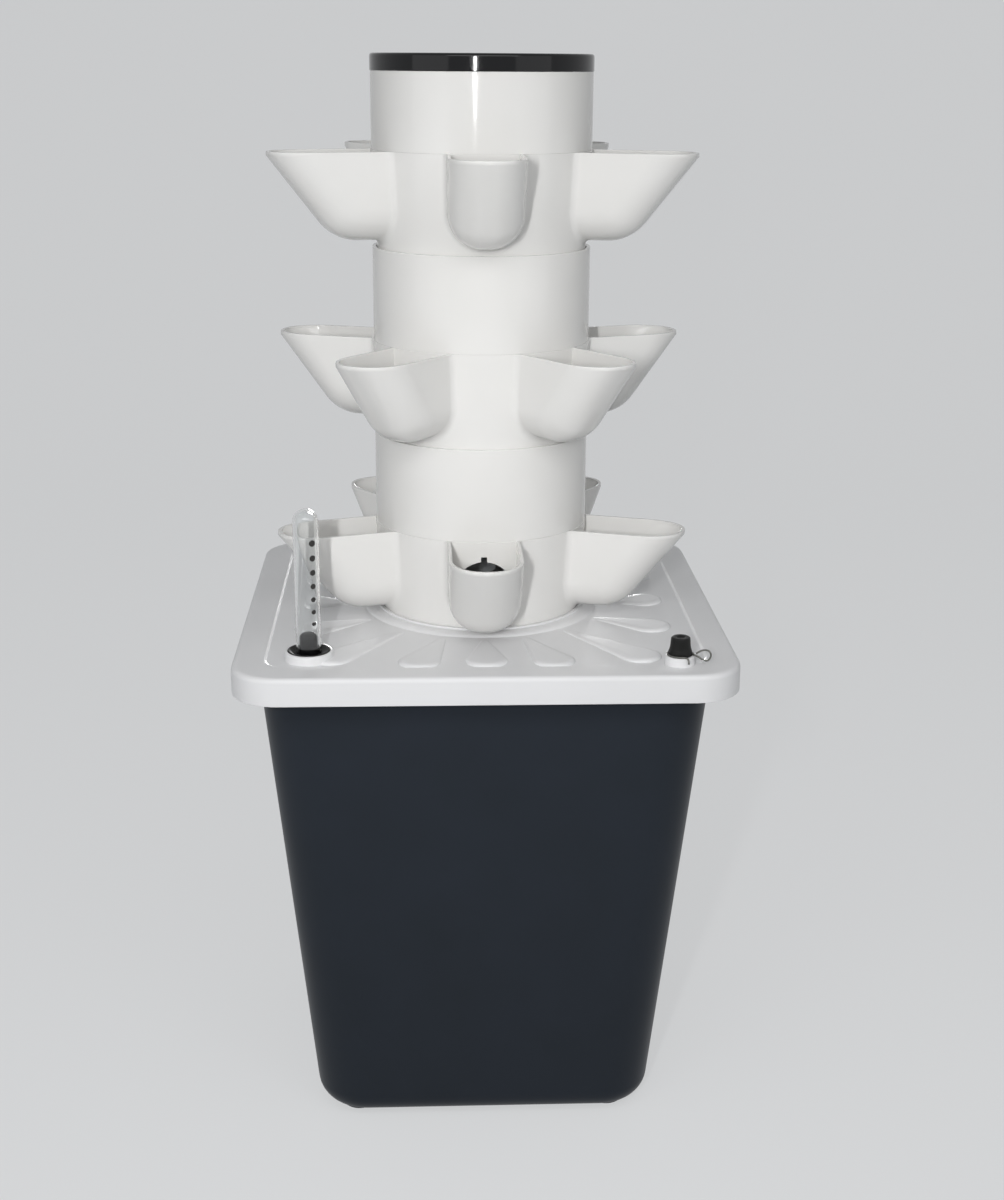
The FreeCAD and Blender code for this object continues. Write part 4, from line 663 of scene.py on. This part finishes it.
# %% Tubes with their pipe guides
SPIGOT, SPIGOT_RADIUS, SPIGOT_BORE = 8.0, 64.2, 61.8
LEDGE_RADIUS, LEDGE_EDGE, LEDGE_FOOT = 61.0, 2.4, 6.0
SHOULDER_LOW, SHOULDER_HIGH = 2.4, 4.8
TUBE_HEIGHT = 57.0
GUIDE_BORE, GUIDE_RADIUS, GUIDE_LOW, GUIDE_HIGH = 11.7, 14.1, 51.0, 57.0
ARM_MIDDLE, ARM_LENGTH, ARM_WIDTH, ARM_EASE = 39.3, 53.0, 2.4, 0.5


def tube_section(height, ledge_drop):
    """Section of a tube from the foot of its spigot, for its height and the depth of its ledge."""
    top = SPIGOT + height
    ledge = top - ledge_drop
    return [(SPIGOT_BORE, 0), (SPIGOT_RADIUS, 0), (SPIGOT_RADIUS, SPIGOT), (TUBE_RADIUS, SPIGOT, 0.2),
            (TUBE_RADIUS, top, 0.3), (SOCKET_RADIUS, top), (SOCKET_RADIUS, ledge), (LEDGE_RADIUS, ledge),
            (LEDGE_RADIUS, ledge - LEDGE_EDGE), (SOCKET_RADIUS, ledge - LEDGE_FOOT),
            (SOCKET_RADIUS, SPIGOT + SHOULDER_HIGH), (SPIGOT_BORE, SPIGOT + SHOULDER_LOW)]


def guide_arm(direction, low, high):
    """One arm from the guide ring to the tube's wall."""
    shape = bmesh.new()
    bmesh.ops.create_cube(shape, size=1.0)
    for vertex in shape.verts:
        vertex.co = Vector((ARM_MIDDLE + vertex.co.x * ARM_LENGTH, vertex.co.y * ARM_WIDTH,
                            low + (vertex.co.z + 0.5) * (high - low))) * MM
    bmesh.ops.bevel(shape, geom=shape.edges[:], offset=ARM_EASE * MM, segments=2, profile=0.5, affect="EDGES")
    bmesh.ops.rotate(shape, verts=shape.verts, matrix=Matrix.Rotation(math.radians(direction), 3, "Z"))
    return as_object("guide_arm", shape)


for level in ("lower", "upper"):
    node = "spacer_tube_" + level
    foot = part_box(node)[0].z / MM
    tube = turned("tube_" + level, tube_section(TUBE_HEIGHT, SPIGOT), height=foot)
    guide = turned("guide_ring", [(GUIDE_BORE, GUIDE_LOW), (GUIDE_RADIUS, GUIDE_LOW),
                                  (GUIDE_RADIUS, GUIDE_HIGH), (GUIDE_BORE, GUIDE_HIGH)], height=foot)
    for direction in (90, 210, 330):
        combined(guide, guide_arm(direction, foot + GUIDE_LOW, foot + GUIDE_HIGH), "UNION")
    combined(tube, guide, "UNION")
    put_in_place(tube, tower_abs, level + "_tube", "tower_plastic", node)

# %% [markdown]
# ## Top tube and cap
# The short top tube has no arms: its ledge carries the dish that spreads the water. The cap is a shallow lid
# with a plug that stands in the tube, in gloss black, and its upper edge is well rounded.

# %% Top tube and cap
TOP_TUBE_HEIGHT, DISH_LEDGE_DROP = 45.3, 17.0
CAP_RADIUS, CAP_HEIGHT, CAP_INSIDE = 67.3, 18.0, 15.6
top_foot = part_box("top_tube")[0].z / MM
top_tube = turned("tube_top", tube_section(TOP_TUBE_HEIGHT, DISH_LEDGE_DROP), height=top_foot)
put_in_place(top_tube, tower_abs, "top_tube", "tower_plastic", "top_tube")
cap_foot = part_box("top_cap")[0].z / MM
CAP_SECTION = [(SPIGOT_BORE, 0), (SPIGOT_RADIUS, 0), (SPIGOT_RADIUS, SPIGOT), (CAP_RADIUS, SPIGOT, 0.4),
               (CAP_RADIUS, CAP_HEIGHT, 1.9), (0, CAP_HEIGHT), (0, CAP_INSIDE), (SPIGOT_BORE, CAP_INSIDE)]
cap = turned("cap", CAP_SECTION, height=cap_foot, closed=False)
put_in_place(cap, cap_abs, "cap", "cap_plastic", "top_cap")

# %% [markdown]
# ## Level gauge
# A float hangs on a rod in the tank, and its black head rises in a clear tube as the tank fills. The tube is
# acrylic with a round closed end, so both its outside and its inside end in half a sphere. A rubber grommet
# with a raised lip holds it in the lid.

# %% Grommet, clear tube and float
grommet_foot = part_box("gauge_grommet")[0].z / MM
GROMMET_SECTION = [(2.1, 0), (9.7, 0), (10.4, 1.4), (10.4, 6.8, 0.3), (12.6, 6.8, 0.4), (12.6, 9.3, 0.9),
                   (11.4, 9.3, 0.7), (8.4, 7.9, 0.5), (7.6, 7.9, 0.3), (7.6, 2.0, 0.3), (2.1, 2.0, 0.3)]
grommet = turned("grommet", GROMMET_SECTION, height=grommet_foot, centre=GAUGE)
put_in_place(grommet, rubber, "lid", "black_rubber", "gauge_grommet")


def round_end(radius, centre_height, steps=12):
    """Half a sphere's section from its equator to its pole."""
    bend = np.linspace(0, math.pi / 2, steps)
    points = [(radius * math.cos(a), centre_height + radius * math.sin(a), 0) for a in bend[:-1]]
    return points + [(0, centre_height + radius, 0)]


glass_low, glass_high = (corner.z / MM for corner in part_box("gauge_glass"))
GLASS_RADIUS, GLASS_WALL = 7.5, 1.1
dome_centre = glass_high - GLASS_RADIUS
glass_section = [(GLASS_RADIUS - GLASS_WALL, glass_low, 0.2), (GLASS_RADIUS, glass_low, 0.2)]
glass_section += round_end(GLASS_RADIUS, dome_centre)
glass_section += round_end(GLASS_RADIUS - GLASS_WALL, dome_centre)[::-1]
glass = turned("clear_tube", glass_section, centre=GAUGE)
put_in_place(glass, acrylic, "lid", "clear_plastic", "gauge_glass")

float_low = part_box("gauge_float")[0].z / MM
FLOAT_SECTION = [(0, 0), (4.0, 0, 1.0), (5.6, 1.6, 1.0), (5.6, 26.4, 1.0), (4.0, 28, 1.0), (1.6, 28, 0.5),
                 (1.6, 106, 0.4), (5.4, 106, 0.8), (5.4, 121.9, 1.2), (3.6, 123.6, 1.0), (0, 123.6)]
float_piece = turned("float_and_rod", FLOAT_SECTION, height=float_low, centre=GAUGE, closed=False)
put_in_place(float_piece, float_pp, "level_float", "float_plastic", "gauge_float")

# %% [markdown]
# ## Marks up the gauge
# A row of round marks is printed up the side of the tube. They repeat, so Geometry Nodes places them: one
# small disc, bent to the tube, stands on each point of an upright row. Downwards the discs get a little
# smaller and closer together, and both follow from the point's number in the row.

# %% Marks by Geometry Nodes
MARK_COUNT, MARK_TOP, MARK_RADIUS = 7, 391.2, 1.95
MARK_STEP, MARK_STEP_LOSS, MARK_SHRINK = 9.15, 0.17, 0.055
MARK_DIRECTION = math.radians(-58)


def mark_disc():
    """One round mark that lies on a tube of the gauge's radius, along +X, at the middle of the tube."""
    shape = bmesh.new()
    rings, spokes, film = 3, 20, 0.12
    layers = []
    for lift in (0.0, film):
        centre = shape.verts.new(Vector((GLASS_RADIUS + lift, 0, 0)) * MM)
        rows = []
        for ring_number in range(1, rings + 1):
            reach = MARK_RADIUS * ring_number / rings
            row = []
            for k in range(spokes):
                angle = 2 * math.pi * k / spokes
                around, up = reach * math.cos(angle), reach * math.sin(angle)
                bend = around / GLASS_RADIUS
                row.append(shape.verts.new(Vector(((GLASS_RADIUS + lift) * math.cos(bend),
                                                   (GLASS_RADIUS + lift) * math.sin(bend), up)) * MM))
            rows.append(row)
        for k in range(spokes):
            n = (k + 1) % spokes
            shape.faces.new((centre, rows[0][k], rows[0][n]))
            for inner, outer in zip(rows, rows[1:]):
                shape.faces.new((inner[k], outer[k], outer[n], inner[n]))
        layers.append(rows[-1])
    for k in range(spokes):
        n = (k + 1) % spokes
        shape.faces.new((layers[0][k], layers[0][n], layers[1][n], layers[1][k]))
    bmesh.ops.recalc_face_normals(shape, faces=shape.faces)
    return as_mesh("mark_disc", shape)


def marks_tree():
    """Set the mark on a row of points from the top down, each smaller and closer than the last."""
    tree = empty_tree("marks up a tube", {
        "Mark": "Geometry", "Count": "Int", "Step": "Float", "Step loss": "Float", "Shrink": "Float",
        "Direction": "Float", "Top mark": "Vector", "Ink": "Material"}, "Marks")
    given = add_node(tree, "NodeGroupInput").outputs
    number = add_node(tree, "GeometryNodeInputIndex")
    rise = add_node(tree, "ShaderNodeMath", {0: number, 1: given["Step loss"]}, operation="MULTIPLY")
    step = add_node(tree, "ShaderNodeMath", {0: rise, 1: given["Step"]}, operation="SUBTRACT")
    drop = add_node(tree, "ShaderNodeMath", {0: number, 1: step}, operation="MULTIPLY")
    below = add_node(tree, "ShaderNodeCombineXYZ", {"Z": drop})
    spot = add_node(tree, "ShaderNodeVectorMath", {0: given["Top mark"], 1: below}, operation="ADD")
    row = add_node(tree, "GeometryNodePoints", {"Count": given["Count"], "Position": spot})
    lost = add_node(tree, "ShaderNodeMath", {0: number, 1: given["Shrink"]}, operation="MULTIPLY")
    size = add_node(tree, "ShaderNodeMath", {0: 1.0, 1: lost}, operation="SUBTRACT")
    flat = add_node(tree, "ShaderNodeCombineXYZ", {"X": 1.0, "Y": size, "Z": size})
    way = add_node(tree, "ShaderNodeCombineXYZ", {"Z": given["Direction"]})
    placed = add_node(tree, "GeometryNodeInstanceOnPoints",
                      {"Points": row, "Instance": given["Mark"], "Rotation": way, "Scale": flat})
    real = add_node(tree, "GeometryNodeRealizeInstances", {"Geometry": placed})
    inked = add_node(tree, "GeometryNodeSetMaterial", {"Geometry": real, "Material": given["Ink"]})
    add_node(tree, "NodeGroupOutput", {"Marks": inked})
    return tree


marks = run_tree("gauge_marks", mark_disc(), marks_tree(), {
    "Count": MARK_COUNT, "Step": MARK_STEP * MM, "Step loss": MARK_STEP_LOSS * MM, "Shrink": MARK_SHRINK,
    "Direction": MARK_DIRECTION,
    "Top mark": (GAUGE[0] * MM, GAUGE[1] * MM, MARK_TOP * MM), "Ink": mark_ink})
put_in_place(marks, mark_ink, "lid", "clear_plastic")

# %% [markdown]
# ## Filler bung and its wire
# The bung is a tapered rubber plug with a flat top and a small dimple. A thin wire is wound round its foot,
# crosses itself and ends in an open eye to hold it by. A curve with a round bevel makes the wire, and its
# result is kept as a mesh.

# %% Bung and wire
bung_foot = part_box("filler_bung")[0].z / MM
BUNG_SECTION = [(0, 0), (4.8, 0), (5.6, 1.2), (5.6, 7.9, 0.2), (7.1, 7.9, 0.4), (7.1, 9.8, 0.8),
                (6.1, 12.6, 1.4), (5.7, 18.2, 0.3), (5.1, 18.9, 0.4), (2.9, 18.9, 0.4), (1.8, 18.1, 0.5),
                (0, 17.9)]
bung = turned("bung", BUNG_SECTION, height=bung_foot, centre=BUNG, closed=False)
put_in_place(bung, rubber, "bung", "black_rubber", "filler_bung")

WIRE_RADIUS, WIRE_LOOP, WIRE_HEIGHT = 0.55, 7.75, 325.85


def wire_path():
    """Points along the wire in millimetres: a tail in front, a turn round the bung, then the eye."""
    points = [(3.7, -9.9, 322.4), (3.9, -9.5, 323.8), (3.6, -8.2, 325.7)]
    for angle in range(-80, -381, -20):
        bend = math.radians(angle)
        points.append((WIRE_LOOP * math.cos(bend), WIRE_LOOP * math.sin(bend), WIRE_HEIGHT))
    points += [(9.8, -2.6, 325.2), (12.0, -4.4, 323.8), (14.4, -5.2, 322.8), (16.8, -4.4, 323.4),
               (18.2, -2.2, 325.4), (17.4, -0.2, 327.4), (14.4, 0.4, 328.2), (11.4, -0.4, 327.4),
               (9.2, -1.6, 326.4)]
    return [Vector((BUNG[0] + x, BUNG[1] + y, z)) * MM for x, y, z in points]


curve = bpy.data.curves.new("wire", "CURVE")
curve.dimensions = "3D"
curve.bevel_depth = WIRE_RADIUS * MM
curve.bevel_resolution = 4
curve.use_fill_caps = True
spline = curve.splines.new("NURBS")
path = wire_path()
spline.points.add(len(path) - 1)
for point, spot in zip(spline.points, path):
    point.co = (*spot, 1.0)
spline.order_u = 4
spline.use_endpoint_u = True
spline.resolution_u = 6
bent = linked("wire_curve", curve)
wire = linked("wire_and_eye", final_mesh(bent))
bpy.data.objects.remove(bent)
put_in_place(wire, wire_steel, "bung", "wire_steel", "bung_wire")

# %% [markdown]
# ## Solids that keep their shape
# The pump, the riser pipe and the water dish stand inside the tank and the tower. Their solids already have
# the right shape, so they only get a finish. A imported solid's mesh is never changed; the material goes into
# its slots.

# %% Dress the solids inside
INSIDE = {
    "water_distributor": pipe_pvc, "riser_pipe_1": pipe_pvc, "riser_pipe_2": pipe_pvc,
    "riser_pipe_3": pipe_pvc, "riser_pipe_4": pipe_pvc, "pump_housing": pump_abs, "pump_cover": pump_abs,
    "pump_intake_cage": pump_abs, "pump_impeller": impeller_acetal, "pump_shaft": shaft_steel,
    "pump_suction_feet": rubber}
for node, material in INSIDE.items():
    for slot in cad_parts[node].material_slots:
        slot.material = material
print("solids dressed:", len(INSIDE))

# %% [markdown]
# ## Floor and backdrop
# A product picture needs a quiet place: one pale sheet that runs flat under the object and curves up behind
# it, so there is no line between floor and wall. A part of its paleness is a glow that only the camera, a
# reflection or a look through the clear tube can see, so it puts no extra light on the object.

# %% Sweep the backdrop
FLOOR_FRONT, BEND_START, BEND_RADIUS, WALL_TOP, SHEET_HALF = -4.0, 1.6, 1.4, 5.0, 6.0
GLOW_SHARE = 0.62


def seen_directly(tree):
    """A node that gives 1 for what the camera sees, also mirrored or through glass, and else 0."""
    ray = add_node(tree, "ShaderNodeLightPath").outputs
    mirrored = add_node(tree, "ShaderNodeMath",
                        {0: ray["Is Glossy Ray"], 1: ray["Is Transmission Ray"]}, operation="MAXIMUM")
    return add_node(tree, "ShaderNodeMath", {0: ray["Is Camera Ray"], 1: mirrored}, operation="MAXIMUM")


def backdrop():
    """The sheet, in metres, with its matt paper finish."""
    material, tree, place = new_material("matt studio paper")
    fibre = add_node(tree, "ShaderNodeTexNoise", {"Vector": place, "Scale": 1 / (4 * MM), "Detail": 3.0})
    tooth = add_node(tree, "ShaderNodeBump", {"Height": fibre, "Strength": 0.3, "Distance": 0.05 * MM})
    paper = add_node(tree, "ShaderNodeBsdfPrincipled",
                     {"Base Color": linear("DCDEE0"), "Roughness": 0.9, "Normal": tooth})
    glow = add_node(tree, "ShaderNodeEmission", {"Color": linear("EAEBEC"), "Strength": 1.0})
    share = add_node(tree, "ShaderNodeMath", {0: seen_directly(tree), 1: GLOW_SHARE}, operation="MULTIPLY")
    lit = add_node(tree, "ShaderNodeMixShader", {0: share, 1: paper, 2: glow})
    add_node(tree, "ShaderNodeOutputMaterial", {"Surface": lit})
    bend = np.linspace(0, math.pi / 2, 17)
    profile = [(FLOOR_FRONT, 0.0), (BEND_START, 0.0)]
    profile += [(BEND_START + BEND_RADIUS * math.sin(a), BEND_RADIUS - BEND_RADIUS * math.cos(a))
                for a in bend[1:]]
    profile += [(BEND_START + BEND_RADIUS, WALL_TOP)]
    vertices = [(x, y, z) for y, z in profile for x in (-SHEET_HALF, SHEET_HALF)]
    faces = [(2 * k, 2 * k + 1, 2 * k + 3, 2 * k + 2) for k in range(len(profile) - 1)]
    mesh = bpy.data.meshes.new("backdrop")
    mesh.from_pydata(vertices, [], faces)
    mesh.shade_smooth()
    mesh.materials.append(material)
    item = linked("backdrop", mesh)


backdrop()

# %% [markdown]
# ## Light
# Gloss shows the shape of the lamp, so two small lamps share one place, a hand's breadth left of the camera.
# The key gives light and no gloss, and its beam is narrowed, as by a grid, so that the foot of the tank stays
# dark. The glint gives gloss only and draws one thin streak down the cap and the top tube. A wide lamp hangs
# over the front and lights the lid, and two large weak ones open up the sides. A narrow beam from behind
# lights the back of the tower and stays off the lid. An even sky keeps the shadows pale. Like the backdrop,
# it looks brighter than the light it gives.

# %% Lamps and sky
def soft_lamp(name, place, target, size, power, beam=180):
    """A rectangular soft light that looks at a point; in metres, watts and degrees."""
    light = bpy.data.lights.new(name, "AREA")
    light.shape = "RECTANGLE"
    light.size, light.size_y = size
    light.energy = power
    light.spread = math.radians(beam)
    lamp = linked(name, light)
    lamp.location = place
    lamp.rotation_euler = (Vector(target) - Vector(place)).to_track_quat("-Z", "Y").to_euler()
    return lamp


KEY_PLACE, STREAK = (-0.165, -1.12, 0.70), (0.03, 0.18)
key = soft_lamp("key", KEY_PLACE, (0, 0, 0.40), STREAK, 1.42, beam=90)
key.visible_glossy = False
glint = soft_lamp("glint", KEY_PLACE, (0, 0, 0.60), STREAK, 0.085, beam=30)
glint.visible_diffuse = False
soft_lamp("front", (0, -0.85, 0.98), (0, -0.35, 0.2), (1.2, 0.3), 3.2)
soft_lamp("left", (-1.56, -1.10, 0.80), (0, 0, 0.40), (1.4, 1.2), 3.2)
soft_lamp("right", (1.50, -1.20, 0.80), (0, 0, 0.40), (1.4, 1.2), 2.6)
soft_lamp("back", (0.10, 2.4, 0.40), (0, 0, 0.52), (0.36, 0.3), 0.40, beam=20)
SKY_LIGHT, SKY_SEEN = 0.24, 0.6
sky = bpy.data.worlds.new("even sky")
bpy.context.scene.world = sky
sky.use_nodes = True
sky.node_tree.nodes.clear()
strength = add_node(sky.node_tree, "ShaderNodeMapRange",
                    {"Value": seen_directly(sky.node_tree), "To Min": SKY_LIGHT, "To Max": SKY_SEEN})
glow = add_node(sky.node_tree, "ShaderNodeBackground", {"Color": linear("FBFDFF"), "Strength": strength})
add_node(sky.node_tree, "ShaderNodeOutputWorld", {"Surface": glow})
bpy.context.scene.view_settings.view_transform = "Standard"

# %% [markdown]
# ## Camera
# The viewpoint was worked out from the photograph: a camera 1.1 m in front of the tower and level with its
# cap, which looks down by about 17 degrees. Its axes are written as the columns of a matrix.

# %% Camera
PITCH, TURN, ROLL = math.radians(17.22), math.radians(-2.62), math.radians(0.37)
CAMERA_PLACE = (-0.0359, -1.0931, 0.6592)
SENSOR_MM, LENS_MM = 36.0, 52.47
forward = Vector((-math.sin(TURN) * math.cos(PITCH), math.cos(TURN) * math.cos(PITCH), -math.sin(PITCH)))
level_right = Vector((math.cos(TURN), math.sin(TURN), 0))
level_up = level_right.cross(forward)
right = math.cos(ROLL) * level_right + math.sin(ROLL) * level_up
up = math.cos(ROLL) * level_up - math.sin(ROLL) * level_right
camera_data = bpy.data.cameras.new("camera")
camera_data.sensor_fit = "VERTICAL"
camera_data.sensor_height = SENSOR_MM
camera_data.lens = LENS_MM
camera = linked("camera", camera_data)
axes = Matrix((right, up, -forward)).transposed().to_4x4()
camera.matrix_world = Matrix.Translation(CAMERA_PLACE) @ axes
bpy.context.scene.camera = camera
